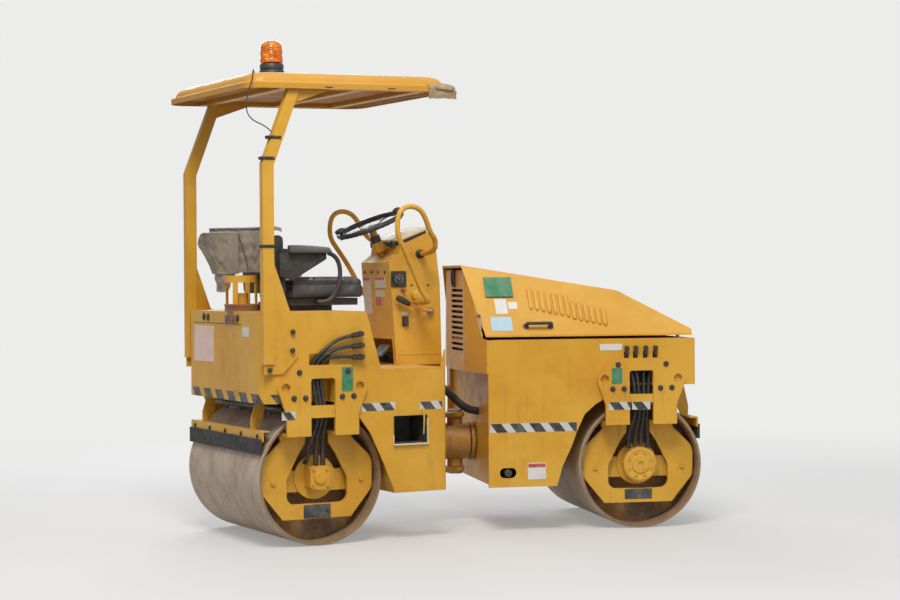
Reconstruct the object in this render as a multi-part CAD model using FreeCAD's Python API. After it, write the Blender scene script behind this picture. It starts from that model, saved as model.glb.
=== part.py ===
import FreeCAD, Part
import math
import os

from FreeCAD import Vector

# Tandem vibratory road roller with an operator's canopy, in millimetres.
# Built with X forward, Y to the left and Z up; x = 0 lies midway between the drum axles when
# the machine stands straight. The whole is moved at the end so that its origin is the middle
# of its footprint. "Near" is the right-hand side, at negative y.

# Drums and stance
drum_diameter = 700.0
drum_width = 1000.0
drum_shell = 18.0
drum_bevel = 5.0
head_depth = 156.0
journal_r = 75.0
wheelbase = 2000.0
running_gap = 0.5
move_clear = 5.0
seat_gap = 0.3

# Frame joint
pivot_x = 58.0
rest_steer = -16.4
origin_x = 1.0
origin_y = 144.0
joint_axis_z = 460.0
steer_arm = 200.0
cylinder_y = 190.0
cylinder_anchor_x = -442.0

# Frames
body_gap = 51.0
side_plate = 10.0
hull_skin = 8.0
tank_bottom_z = 255.0
panel_bottom_z = 746.0
step_z = 905.0
step_plate = 4.0
seat_deck_z = 1214.0
rear_overhang = 340.0
rear_front_x = -285.0
rear_corner_r = 90.0
front_rear_x = 130.0
front_wall_x = 165.0
front_overhang = 298.0
front_bottom_z = 249.0
front_shelf_z = 790.0
front_top_z = 1045.0
wall_plate = 8.0

# Drum forks
fork_plate = 18.0
fork_in_drum = 49.0
fork_shift = -14.0
fork_web_z = 243.0
fork_neck_half = 203.0
fork_slot_half = 68.0
fork_slot_top = 521.0
fork_bolt_x = 250.0
fork_bolt_z = -20.0
lift_hole_r = 24.0
lift_hole_x = 209.0
lift_hole_z = 476.0

# Drum carriers
buffer_length = 21.0
buffer_r = 32.0
carrier_plate = 14.0
flange_r = 116.0
flange_rise = 6.0
hose_r = 9.5

# Hood
hood_skin = 5.0
hood_ledge = 61.0
hood_lean_in = 237.0
hood_bottom_z = 1060.0
hood_crease_z = 1070.0
hood_top_z = 1453.0
hinge_set_back = 8.0
hinge_z = 1066.0

# Canopy
gusset_plate = 9.0
post_x = 62.0
post_y = 40.0
post_bend_z = 1966.0
post_lean = 0.38
post_foot_z = 949.0
roof_rear_x = -1432.0
roof_front_x = -250.0
roof_overhang = 21.0
roof_corner = 95.0
roof_rear_z = 2350.0
roof_tilt = 1.0
roof_lip = 14.0
rail_height = 21.0

# Operator's place
console_half = 176.0
wheel_x = -465.0
wheel_z = 1679.0
wheel_tilt = 22.0
wheel_r = 182.0
rim_r = 12.5
rail_r = 14.0
guard_r = 88.0

drum_r = drum_diameter / 2
drum_half = drum_width / 2
head_y = drum_half - head_depth
head_half = 8.0
boss_half = 26.0
boss_r = journal_r + 30
rear_axle_x = -wheelbase / 2
front_axle_x = wheelbase / 2
body_half = drum_half + body_gap
fork_outer = body_half + fork_plate
fork_inner = drum_half - fork_in_drum
carrier_y = fork_inner - fork_plate - buffer_length
rear_panel_x = rear_axle_x - rear_overhang
front_end_x = front_axle_x + front_overhang
deck_front_x = rear_axle_x + 243
step_rear_x = rear_axle_x + 328
post_rear_x = rear_panel_x - 4
hinge_x = front_end_x - hinge_set_back
post_outer = body_half + 2 * gusset_plate
roof_half = post_outer + roof_overhang
hood_half = body_half - hood_ledge
hinge_y = hood_half - 195
hood_top_half = hood_half - hood_lean_in
hood_lean = math.atan2(hood_lean_in, hood_top_z - hood_crease_z)
hood_ridge_z = hood_top_z - 144
hood_nose_z = hood_bottom_z + 35

PARTS = {}


def box(x0, x1, y0, y1, z0, z1):
    return Part.makeBox(x1 - x0, y1 - y0, z1 - z0, Vector(x0, y0, z0))


def rod(start, end, radius):
    start, end = Vector(*start), Vector(*end)
    along = end - start
    return Part.makeCylinder(radius, along.Length, start, along)


def rounded_wire(corners):
    """Closed wire through (u, v, radius) corners, each corner cut by an arc of its radius."""
    count = len(corners)
    edges = []
    ends = []
    for i in range(count):
        u, v, radius = corners[i]
        here = Vector(u, v, 0)
        before = Vector(corners[i - 1][0], corners[i - 1][1], 0) - here
        after = Vector(corners[(i + 1) % count][0], corners[(i + 1) % count][1], 0) - here
        before.normalize()
        after.normalize()
        half = before.getAngle(after) / 2
        if radius <= 0 or abs(half - math.pi / 2) < 1e-4:
            ends.append((here, here, None))
            continue
        reach = radius / math.tan(half)
        bisector = (before + after).normalize()
        middle = here + bisector * (radius / math.sin(half) - radius)
        ends.append((here + before * reach, here + after * reach, middle))
    for i in range(count):
        start, end, middle = ends[i]
        if middle is not None:
            edges.append(Part.Arc(start, middle, end).toShape())
        following = ends[(i + 1) % count][0]
        if (following - end).Length > 1e-6:
            edges.append(Part.LineSegment(end, following).toShape())
    return Part.Wire(edges)


def sharp(points):
    return [(u, v, 0) for u, v in points]


def clipped(u0, u1, v0, v1, corner):
    """Rectangle with its four corners cut off."""
    return sharp([(u0 + corner, v0), (u1 - corner, v0), (u1, v0 + corner), (u1, v1 - corner),
                  (u1 - corner, v1), (u0 + corner, v1), (u0, v1 - corner), (u0, v0 + corner)])


def prism_y(corners, y0, y1):
    """Prism from y0 to y1 of an outline in x and z."""
    face = Part.Face(rounded_wire(corners))
    face.rotate(Vector(0, 0, 0), Vector(1, 0, 0), 90)
    face.translate(Vector(0, y1, 0))
    return face.extrude(Vector(0, y0 - y1, 0))


def prism_z(corners, z0, z1):
    """Prism from z0 to z1 of an outline in x and y."""
    face = Part.Face(rounded_wire(corners))
    face.translate(Vector(0, 0, z0))
    return face.extrude(Vector(0, 0, z1 - z0))


def prism_x(corners, x0, x1):
    """Prism from x0 to x1 of an outline in y and z."""
    face = Part.Face(rounded_wire(corners))
    face.rotate(Vector(0, 0, 0), Vector(1, 1, 1), 120)
    face.translate(Vector(x0, 0, 0))
    return face.extrude(Vector(x1 - x0, 0, 0))


def ringed(rings, closed=False):
    """Solid with flat sides through rings of like points; the first and last ring cap it."""
    count = len(rings[0])
    follow = rings[1:] + rings[:1] if closed else rings[1:]
    faces = []
    for low, high in zip(rings, follow):
        for i in range(count):
            j = (i + 1) % count
            faces.append(Part.Face(Part.makePolygon([low[i], low[j], high[j], high[i], low[i]])))
    if not closed:
        for ring in (rings[0], rings[-1]):
            faces.append(Part.Face(Part.makePolygon(ring + [ring[0]])))
    skin = Part.makeCompound(faces)
    skin.sewShape()
    solid = Part.Solid(skin.Shells[0])
    if solid.Volume < 0:
        solid.reverse()
    return solid


def section(centre, along, radius, sides):
    """Corners of a regular polygon across a direction."""
    side = along.cross(Vector(0, 0, 1))
    if side.Length < 0.1:
        side = Vector(1, 0, 0)
    side.normalize()
    up = side.cross(along).normalize()
    turns = [2 * math.pi * (i + 0.5) / sides for i in range(sides)]
    return [centre + side * (radius * math.cos(t)) + up * (radius * math.sin(t)) for t in turns]


def peg(start, end, radius, sides=12, end_radius=None):
    """Short many-sided bar, such as a hexagon fitting, tapered if its end has another radius."""
    start, end = Vector(*start), Vector(*end)
    along = (end - start).normalize()
    last = radius if end_radius is None else end_radius
    return ringed([section(start, along, radius, sides), section(end, along, last, sides)])


def corner_arc(before_point, point, after_point, bend):
    """Where an arc round a corner starts and ends, with its centre, axis and angle in degrees."""
    before = before_point - point
    after = after_point - point
    shorter = min(before.Length, after.Length)
    before.normalize()
    after.normalize()
    half = before.getAngle(after) / 2
    reach = 0.45 * shorter
    if bend is not None:
        reach = min(reach, bend / math.tan(half))
    arc_r = reach * math.tan(half)
    centre = point + (before + after).normalize() * (arc_r / math.sin(half))
    axis = (before * -1).cross(after).normalize()
    return point + before * reach, point + after * reach, centre, axis, 180 - 2 * math.degrees(half)


def bar(points, radius, bend=None, sides=8, step=20.0):
    """Bent bar or pipe with flats, mitred in small steps round each bend."""
    points = [Vector(*p) for p in points]
    path = [points[0]]
    for i in range(1, len(points) - 1):
        start, end, centre, axis, angle = corner_arc(points[i - 1], points[i], points[i + 1], bend)
        count = max(1, math.ceil(angle / step))
        out = start - centre
        for k in range(count + 1):
            turn = FreeCAD.Rotation(axis, angle * k / count)
            path.append(centre + turn.multVec(out))
    path.append(points[-1])
    along = (path[1] - path[0]).normalize()
    rings = [section(path[0], along, radius, sides)]
    for i in range(1, len(path)):
        along = (path[i] - path[i - 1]).normalize()
        normal = along
        if i < len(path) - 1:
            normal = (along + (path[i + 1] - path[i]).normalize()).normalize()
        rings.append([p + along * ((path[i] - p).dot(normal) / along.dot(normal))
                      for p in rings[-1]])
    return ringed(rings)


def hose(name, points, radius, sides=6):
    """Hose along straight runs joined by tangent arcs as large as the runs allow."""
    points = [Vector(*p) for p in points]
    ring = section(points[0], (points[1] - points[0]).normalize(), radius, sides)
    face = Part.Face(Part.makePolygon(ring + ring[:1]))
    runs = []
    radii = []
    here = points[0]
    for i in range(1, len(points)):
        if i == len(points) - 1:
            runs.append(face.extrude(points[i] - here))
            break
        start, end, centre, axis, angle = corner_arc(points[i - 1], points[i], points[i + 1], None)
        runs.append(face.extrude(start - here))
        face.translate(start - here)
        runs.append(face.revolve(centre, axis, angle))
        face.rotate(centre, axis, angle)
        radii.append(round((start - centre).Length))
        here = end
    print(name, "arc radii", radii)
    return fuse(runs)


def ferruled(name, points, lead, tail):
    """Hose with a hexagon ferrule at each end, as long as lead and tail say."""
    points = [Vector(*p) for p in points]
    first = (points[1] - points[0]).normalize()
    last = (points[-2] - points[-1]).normalize()
    ferrules = [peg(points[0], points[0] + first * lead, 13, 6),
                peg(points[-1], points[-1] + last * tail, 13, 6)]
    points[0] += first * (lead + seat_gap)
    points[-1] += last * (tail + seat_gap)
    return [hose(name, points, hose_r)] + ferrules


def revolve_y(profile, x, z):
    """Solid of revolution about the line along Y at x and z, from (y, radius) corners."""
    corners = [Vector(x, y, z + r) for y, r in profile]
    face = Part.Face(Part.makePolygon(corners + [corners[0]]))
    return face.revolve(Vector(x, 0, z), Vector(0, 1, 0), 360)


def fuse(shapes):
    shapes = list(shapes)
    whole = shapes[0]
    if len(shapes) > 1:
        whole = whole.multiFuse(shapes[1:])
    return whole.removeSplitter()


def cut(shape, tools):
    return shape.cut(list(tools))


def mirrored(shape):
    return shape.mirror(Vector(0, 0, 0), Vector(0, 1, 0))


def other_end(shape, axle_x):
    """The same piece at the drum's other end, turned half round about the upright line."""
    turned = shape.copy()
    turned.rotate(Vector(axle_x, 0, 0), Vector(0, 0, 1), 180)
    return turned


def both_sides(shape):
    return Part.makeCompound([shape, mirrored(shape)])


def steered(shape):
    """Turn a piece of the front unit about the frame joint to the angle at rest."""
    turned = shape.copy()
    turned.rotate(Vector(pivot_x, 0, 0), Vector(0, 0, 1), rest_steer)
    return turned


def rear(name, shape):
    PARTS[name] = shape


def front(name, shape):
    PARTS[name] = steered(shape)


def drum(axle_x):
    """Rolled steel shell with recessed heads, each with a bored boss, turned in one."""
    inner_r = drum_r - drum_shell
    bore_r = journal_r + running_gap
    rim = [(-drum_half, drum_r - drum_bevel), (-drum_half + drum_bevel, drum_r),
           (drum_half - drum_bevel, drum_r), (drum_half, drum_r - drum_bevel)]
    head = [(drum_half, inner_r), (head_y + head_half, inner_r), (head_y + head_half, boss_r),
            (head_y + boss_half, boss_r), (head_y + boss_half, bore_r),
            (head_y - head_half, bore_r), (head_y - head_half, inner_r)]
    return revolve_y(rim + head + [(-y, r) for y, r in reversed(head)], axle_x, drum_r)


def hub(axle_x, with_motor):
    """Fixed hub of the near side: carrier plate on rubber buffers, journal, and its drive."""
    y_out = -carrier_y
    y_in = y_out + carrier_plate
    face_y = y_out - flange_rise
    plate = prism_y(clipped(axle_x - 288, axle_x + 288, drum_r - 75, drum_r + 38, 26),
                    y_out, y_in)
    pieces = [plate, rod((axle_x, face_y, drum_r), (axle_x, y_in, drum_r), flange_r),
              rod((axle_x, y_in, drum_r), (axle_x, boss_half - head_y, drum_r), journal_r)]
    for side in (-1, 1):
        at_x = axle_x + side * fork_bolt_x
        at_z = drum_r + fork_bolt_z
        pieces.append(peg((at_x, -fork_inner + fork_plate, at_z), (at_x, y_out, at_z), buffer_r))
    if with_motor:
        pieces.append(prism_y(clipped(axle_x - 55, axle_x + 57, drum_r - 60, drum_r + 62, 14),
                              face_y - 72, face_y))
    else:
        pieces.append(rod((axle_x, face_y - 50, drum_r), (axle_x, face_y, drum_r), 84))
        pieces.append(rod((axle_x, face_y - 74, drum_r), (axle_x, face_y - 50, drum_r), 95))
    return fuse(pieces)


def fork(axle_x):
    """Near fork: flat plate bolted to the frame, stepped inward to a plate inside the drum."""
    x, z = axle_x, drum_r
    u = x + fork_shift
    n, web = fork_neck_half, z + fork_web_z
    upper = prism_y([(u - n, web - fork_plate, 0), (u + n, web - fork_plate, 0),
                     (u + n, z + 335, 0), (u + 256, z + 474, 40), (u + 157, z + 590, 0),
                     (u - 157, z + 590, 0), (u - 256, z + 474, 40), (u - n, z + 335, 0)],
                    -fork_outer, -body_half)
    w = fork_slot_half
    slot = prism_y([(u - w, web - 60, 0), (u + w, web - 60, 0), (u + w, z + fork_slot_top, 14),
                    (u - w, z + fork_slot_top, 14)], -fork_outer - 1, -fork_inner - 1)
    shelf = box(u - n, u + n, -fork_outer, -fork_inner + fork_plate, web - fork_plate, web)
    lower = prism_y([(u - n, web, 0), (x - 205, z + 196, 0), (x - 317, z + 90, 90),
                     (x - 315, z - 68, 60), (x - 194, z - 214, 0), (x + 194, z - 214, 0),
                     (x + 315, z - 68, 60), (x + 317, z + 90, 90), (x + 205, z + 196, 0),
                     (u + n, web, 0)], -fork_inner, -fork_inner + fork_plate)
    keyhole = prism_y([(x - 66, web + 1, 0), (x - 66, z + 180, 0), (x - 105, z + 124, 0),
                       (x - 172, z - 5, 40), (x - 172, z - 135, 45), (x + 172, z - 135, 45),
                       (x + 172, z - 5, 40), (x + 105, z + 124, 0), (x + 66, z + 180, 0),
                       (x + 66, web + 1, 0)], -fork_inner - 1, -fork_inner + fork_plate + 1)
    holes = [rod((u + side * lift_hole_x, -fork_outer - 1, z + lift_hole_z),
                 (u + side * lift_hole_x, -body_half + 1, z + lift_hole_z), lift_hole_r)
             for side in (-1, 1)]
    return cut(fuse([upper, shelf, lower]), [slot, keyhole] + holes)


def clamp(axle_x, low_z, high_z):
    """Block across the slot of the near fork that holds the hoses behind it."""
    u = axle_x + fork_shift
    half = fork_slot_half - seat_gap
    return box(u - half, u + half, -fork_outer + 3, -body_half + 5, low_z, high_z)


def hose_channel(t):
    """Way for the hoses behind the near fork, into the hull's side, grown by t."""
    y = -body_half
    u = rear_axle_x + fork_shift
    w = fork_slot_half + t
    recess = box(u - w, u + w, y - 1, y + 78 + t, 740 - t, drum_r + fork_slot_top + t)
    way_in = prism_x(sharp([(y - 1, 800), (y + 46 + t, 800), (y + 46 + t, 930 + t),
                            (y - 1, 1001 + 1.5 * t)]), rear_axle_x - 85 - t, rear_axle_x + 30 + t)
    return recess, way_in


def hull_form(inset):
    """Body over the rear drum, or the room inside its plates when drawn in by inset."""
    t = inset
    x = rear_axle_x
    # x, z, corner radius, and the way each corner moves when the outline is drawn in
    rows = [(rear_front_x, tank_bottom_z, 0, -1, 1), (x + 403, tank_bottom_z, 0, 1, 1),
            (x + 339, 415, 0, 1, 1), (x + 260, 580, 0, 1, 1), (x + 170, 700, 0, 1, 1),
            (x + 120, panel_bottom_z, 0, 1, 1), (rear_panel_x, panel_bottom_z, 0, 1, 1),
            (rear_panel_x, seat_deck_z, 0, 1, -1), (deck_front_x, seat_deck_z, 26, -1, -1),
            (step_rear_x, step_z, 0, -1, -1), (rear_front_x, step_z, 0, -1, -1)]
    half = body_half - t
    hull = prism_y([(x + t * way_x, z + t * way_z, r) for x, z, r, way_x, way_z in rows],
                   -half, half)
    plan = prism_z([(rear_front_x - t, -half, 22), (rear_front_x - t, half, 22),
                    (rear_panel_x + t, half, rear_corner_r - t),
                    (rear_panel_x + t, -half, rear_corner_r - t)], 200, seat_deck_z + 100)
    inner = body_half - side_plate + t
    bay = rod((rear_axle_x, -inner, drum_r), (rear_axle_x, inner, drum_r), drum_r + 25 + t)
    window = box(x + 399 - t, x + 595 + t, -body_half - 1, -body_half + 200 + t, 512 - t, 660 + t)
    cylinder_bay = box(cylinder_anchor_x - 63 - t, rear_front_x + 1, cylinder_y - 62 - t,
                       cylinder_y + 62 + t, joint_axis_z - 58 - t, joint_axis_z + 58 + t)
    seat_for_post = box(post_rear_x - 10, post_rear_x + post_x + t, -post_outer,
                        -post_outer + post_y + t, post_foot_z - t, seat_deck_z + 100)
    recess, way_in = hose_channel(t)
    return cut(hull.common(plan), [bay, window, cylinder_bay, seat_for_post,
                                   mirrored(seat_for_post), recess, mirrored(recess), way_in])


def rear_hull():
    """Tanks and platform, one closed hull of plate over the rear drum."""
    return cut(hull_form(0), [hull_form(hull_skin)])


def step_lip():
    """Raised edge plates and tread plate of the step deck."""
    end_x = rear_front_x - 4
    top = step_z + step_plate
    tread = box(step_rear_x + 8, end_x, -body_half + 6, body_half - 6, step_z, top)
    lip = prism_y([(end_x, top, 0), (end_x - 30, top, 0), (end_x - 6, step_z + 98, 0),
                   (end_x, step_z + 98, 0)], -body_half + 6, -body_half + 12)
    return fuse([tread, lip, mirrored(lip)])


# Inset from the plan outline and height over the lip's underside of each ring of the roof
roof_rings = [(4, 0), (0, 6), (0, 28), (22, 33), (34, 62), (70, 84), (130, 91)]


def plan_ring(inset, z):
    """Roof outline drawn in by inset, with each corner eased in four steps."""
    radius = max(roof_corner - inset, 10.0)
    reach = inset + radius
    ring = []
    for k, (at_x, at_y) in enumerate(((roof_front_x - reach, roof_half - reach),
                                      (roof_rear_x + reach, roof_half - reach),
                                      (roof_rear_x + reach, reach - roof_half),
                                      (roof_front_x - reach, reach - roof_half))):
        for step in range(5):
            turn = math.radians(90 * k + 22.5 * step)
            ring.append(Vector(at_x + radius * math.cos(turn), at_y + radius * math.sin(turn), z))
    return ring


def on_roof(shape):
    """Place a piece drawn over a level roof on the real one, which rises a little forward."""
    placed = shape.copy()
    placed.rotate(Vector(roof_rear_x, 0, 0), Vector(0, 1, 0), -roof_tilt)
    placed.translate(Vector(0, 0, roof_rear_z))
    return placed


def canopy_roof():
    """Moulded roof: closed double skin with a rounded dome over a lip that stands out."""
    form = ringed([plan_ring(inset, z) for inset, z in roof_rings])
    under = ringed([plan_ring(roof_lip, -1), plan_ring(roof_lip, rail_height + 1)])
    hollow = ringed([plan_ring(40, rail_height + 8), plan_ring(52, 56), plan_ring(88, 76)])
    return on_roof(cut(form, [under, hollow]))


def corner_rag():
    """Cloth tied over the roof's near front corner, a plain shell over the roof's form."""
    outer = ringed([plan_ring(inset - 9, z + (7 if z > 30 else -4 if z < 5 else 0))
                    for inset, z in roof_rings])
    gap = ringed([plan_ring(inset - 0.5, z + (0.5 if z > 30 else -0.5 if z < 5 else 0))
                  for inset, z in roof_rings])
    corner = box(roof_front_x - 185, roof_front_x + 20, -roof_half - 20, -roof_half + 150,
                 1, 140)
    flap = box(roof_front_x - 150, roof_front_x - 74, -roof_half - 9, -roof_half - 3, -44, 10)
    return on_roof(fuse([cut(outer, [gap]).common(corner), flap]))


def canopy_frame():
    """Frame under the roof: two flat rails on the posts and three cross members."""
    low, high = 0.5, rail_height + 1 - seat_gap
    y_in = post_outer - post_y
    rails = [box(roof_rear_x + 192, roof_front_x - 150, side * (post_outer - post_y / 2) - 19,
                 side * (post_outer - post_y / 2) + 18, low, high) for side in (-1, 1)]
    cross = [box(x, x + 60, -y_in - 10, y_in + 10, low, high)
             for x in (roof_rear_x + 202, (roof_rear_x + roof_front_x) / 2 + 31,
                       roof_front_x - 210)]
    return on_roof(fuse(rails + cross))


def posts():
    """Two rectangular posts, bent forward, each welded to a gusset bolted to the hull."""
    x0, x1 = post_rear_x, post_rear_x + post_x
    y0, y1 = -post_outer, -post_outer + post_y
    side = -body_half
    top = roof_rear_z + 60
    lean = post_lean * (top - post_bend_z)
    bar_side = prism_y([(x0, post_foot_z, 0), (x1, post_foot_z, 0), (x1, post_bend_z - 6, 0),
                        (x1 + lean, top, 0), (x0 + lean, top, 0), (x0, post_bend_z + 6, 0)],
                       y0, y1)
    gusset = prism_y(sharp([(x1, 898), (x1 + 46, 898), (x1 + 132, 985), (x1 + 132, 1206),
                            (x1 + 89, 1220), (x1, 1470)]), side - gusset_plate, side)
    foot = prism_y(sharp([(x0 + 6, 898), (x1, 898), (x1, post_foot_z), (x0 + 6, post_foot_z)]),
                   side - gusset_plate, side)
    knee = prism_y(sharp([(x1 + lean - 45, top - 125), (x1 + lean + 185, top - 42),
                          (x1 + lean + 185, top), (x1 + lean - 20, top)]), y0 + 12, y0 + 20)
    over = on_roof(box(-2000, 500, -2000, 0, 0.5, 400))
    return both_sides(cut(fuse([bar_side, gusset, foot, knee]), [over]))


beacon_x = -1045.0


def beacon():
    """Flared base and ribbed lens of the flashing beacon, on the flat of the roof."""
    roof_top = roof_rings[-1][1] + seat_gap

    def turned(profile):
        return on_roof(ringed([section(Vector(beacon_x, 0, roof_top + h), Vector(0, 0, 1), r, 20)
                               for h, r in profile]))

    base = turned([(0, 81), (12, 81), (60, 66), (99, 64)])
    lens = turned([(99, 63), (186, 60), (207, 50), (219, 28)])
    return base, lens


def seat():
    """Slide base, cushion, padded back, arm rests and side tubes of the seat."""
    x = rear_axle_x
    base = fuse([box(x - 20, x + 230, -150, 150, seat_deck_z, seat_deck_z + 28),
                 box(x - 30, x + 360, -200, 200, seat_deck_z + 28, seat_deck_z + 66)])
    z = seat_deck_z + 66
    cushion = prism_y([(x - 40, z + seat_gap, 0), (x + 370, z + seat_gap, 0), (x + 400, z + 50, 22),
                       (x + 370, z + 116, 34), (x - 40, z + 92, 0)], -240, 240)
    back = prism_y([(x - 128, z + 20, 0), (x - 60, z + 20, 0), (x - 76, z + 360, 24),
                    (x - 150, z + 360, 24)], -235, 235)
    arm = prism_y([(x - 80, z + 241, 0), (x + 170, z + 241, 0), (x + 174, z + 268, 0),
                   (x + 150, z + 287, 0), (x - 80, z + 287, 0)], -300, -252)
    side = prism_y(sharp([(x - 120, z + 120), (x - 47, z + 94), (x + 151, z + 208),
                          (x + 151, z + 240.7), (x - 120, z + 240.7)]), -259, -252)
    pipe = bar([(x + 165, -268, z + 240.7), (x + 165, -268, z + 222),
                (x + 218, -268, z + 165), (x + 196, -268, z + 92),
                (x + 142, -262, z - 18), (x + 120, -230, z - 18), (x + 120, -200, z - 18)], 12)
    return base, cushion, back, both_sides(arm), both_sides(fuse([side, pipe]))


def cover_solid():
    """Fabric pulled over the seat's back, hanging in a loose bag behind its far half."""
    x = rear_axle_x
    guard_top = seat_deck_z + 190
    sleeve = prism_y(sharp([(x - 150.5, guard_top - 50), (x - 133, guard_top - 50),
                            (x - 150.4, 1640.3), (x - 76, 1640.3), (x - 70, 1664),
                            (x - 186, 1664), (x - 176, guard_top + 12), (x - 151, guard_top + 8)]),
                     -250, 250)
    bag = prism_y([(x - 310, guard_top + 20, 0), (x - 170, guard_top + 10, 0), (x - 170, 1640, 0),
                   (x - 240, 1650, 0), (x - 320, 1590, 0)], 10, 246)
    return fuse([sleeve, bag])


def filler_guard():
    """Guard ring of flat bar on legs round the filler, on its base plate."""
    x, y = rear_axle_x - 240, -20.0
    base_z, low_z, top_z = seat_deck_z + 36, seat_deck_z + 152, seat_deck_z + 190
    up = 20

    def can(radius, z0, z1):
        return peg((x, y, z0), (x, y, z1), radius, up)

    ring = cut(can(guard_r, low_z, top_z), [can(guard_r - 6, low_z - 1, top_z + 1)])
    legs = []
    for turn in (45, 135, 225, 315):
        leg = box(x + guard_r - 7, x + guard_r - 2, y - 14, y + 14, base_z - 10, low_z + 8)
        leg.rotate(Vector(x, y, 0), Vector(0, 0, 1), turn)
        legs.append(leg)
    return fuse([ring, can(guard_r, seat_deck_z, base_z), can(34, base_z, base_z + 60)] + legs)


def console_outline(skin):
    """Side outline of the console, drawn in by its skin."""
    foot = step_z + step_plate - skin
    t = skin
    return sharp([(-395 + t, foot), (-115 - t, foot), (-125 - t, 1351), (-157 - t, 1620 - t),
                  (-188, 1636 - t), (-370 + t, 1560 - t), (-376 + t, 1516 - t),
                  (-437 + t, 1471 - t)])


def console():
    """Hollow pedestal with the pedal opening in its rear face and bolted flanges."""
    skin = 4.0
    shell = prism_y(console_outline(0), -console_half, console_half)
    inner = prism_y(console_outline(skin), -console_half + skin, console_half - skin)
    opening = box(-450, -380, -142, 100, step_z, 1050)
    low = step_z + step_plate
    flanges = [box(-395, -115, side * console_half - 13 + side * 13,
                   side * console_half + 13 + side * 13, low, low + 6) for side in (-1, 1)]
    return fuse([cut(shell, [inner, opening])] + flanges)


def dash():
    """Instrument cluster with its lid on the sloping top of the console."""
    low = Vector(-370, 0, 1560)
    run = (Vector(-188, 0, 1636) - low).normalize()
    rise = Vector(-run.z, 0, run.x)
    corners = [low + run * s + rise * h for s, h in ((8, 0), (184, 0), (184, 18), (8, 18))]
    return prism_y(sharp([(p.x, p.z) for p in corners]), -150, 150)


def steering_wheel():
    """Rim, three flat spokes, hub and spinner knobs, tilted about the line along Y."""
    sides, corners = 8, 24
    rim_rings = []
    for k in range(corners):
        ring = [Vector(wheel_r + rim_r * math.cos(t), 0, rim_r * math.sin(t))
                for t in [2 * math.pi * (i + 0.5) / sides for i in range(sides)]]
        spin = FreeCAD.Rotation(Vector(0, 0, 1), 360 * k / corners)
        rim_rings.append([spin.multVec(p) for p in ring])
    pieces = [ringed(rim_rings, closed=True), Part.makeCylinder(48, 16, Vector(0, 0, -16)),
              peg((0, 0, -34), (0, 0, -16), 46, 12, 40)]
    for angle in (-90, 30, 150):
        spoke = box(20, wheel_r, -17, 17, -12, -3)
        spoke.rotate(Vector(0, 0, 0), Vector(0, 0, 1), angle)
        pieces.append(spoke)
    for angle in (180, -50):
        knob = fuse([peg((wheel_r, 0, 0), (wheel_r, 0, 26), 8, 8),
                     peg((wheel_r, 0, 22), (wheel_r, 0, 58), 20, 10)])
        knob.rotate(Vector(0, 0, 0), Vector(0, 0, 1), angle)
        pieces.append(knob)
    whole = fuse(pieces)
    whole.rotate(Vector(0, 0, 0), Vector(0, 1, 0), -wheel_tilt)
    whole.translate(Vector(wheel_x, 0, wheel_z))
    return whole


def steering_column():
    """Column from the console's top to just below the wheel's hub, with its boot."""
    tilt = math.radians(wheel_tilt)
    down = Vector(math.sin(tilt), 0, -math.cos(tilt))
    centre = Vector(wheel_x, 0, wheel_z)
    top = centre + down * 34.5
    column = Part.makeCylinder(21, 151.5, top, down)
    boot = peg(tuple(top + down * 62), tuple(top + down * 122), 28, 12, 44)
    body = prism_y(console_outline(0), -console_half, console_half)
    return cut(fuse([column, boot]), [body])


# From the console's side out, back, up over the wheel's level and down to the console again
handrail_points = [(-284, -console_half, 1252), (-284, -335, 1252), (-289, -345, 1308),
                   (-408, -390, 1461), (-508, -431, 1678), (-420, -431, 1767),
                   (-288, -380, 1643), (-248, -330, 1517), (-248, -console_half, 1517)]


def handrails():
    rail = bar(handrail_points, rail_r, 60)
    side = -console_half
    lower_boss = peg((-270, side, 1290), (-270, side - 28, 1290), 36)
    upper_boss = peg((-248, side, 1517), (-248, side - 16, 1517), 26)
    return both_sides(fuse([rail, lower_boss, upper_boss]))


def drive_lever():
    side = -console_half
    stem = bar([(-190, side, 1203), (-190, side - 29, 1203), (-262, side - 36, 1210),
                (-396, side - 40, 1272)], 7, 16, 6)
    knob = peg((-330, side - 38, 1241.6), (-412, side - 41, 1279.5), 17, 8)
    boss = peg((-190, side, 1203), (-190, side - 20, 1203), 20, 10)
    return fuse([stem, knob, boss])


def pedal():
    low = step_z + step_plate + seat_gap
    plate = prism_y(sharp([(-470, 960), (-462, 952), (-405, 1010), (-413, 1018)]), -130, -20)
    arm = prism_y(sharp([(-436, 985), (-424, 985), (-300, low), (-330, low)]), -90, -70)
    return fuse([plate, arm])


def scraper(axle_x, outward, top_z):
    """Outer scraper: brackets under the frame, angle beam and rubber blade."""
    def span(a, b):
        ends = (axle_x + outward * a, axle_x + outward * b)
        return min(ends), max(ends)

    top_z -= seat_gap
    half = drum_half + 8
    beam = [box(*span(322, 330), -half, half, 552, 606), box(*span(286, 330), -half, half, 600, 606)]
    for y in (155 - drum_half, drum_half - 155):
        outline = [(248, top_z), (298, top_z), (326, 660), (326, 606), (286, 606), (258, 660)]
        beam.append(prism_y(sharp([(axle_x + outward * x, z) for x, z in outline]), y - 5, y + 5))
        beam.append(box(*span(236, 298), y - 42, y + 42, top_z - 6, top_z))
    blade = box(*span(330, 342), 4 - half, half - 4, 486, 566)
    return fuse(beam), blade


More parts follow.
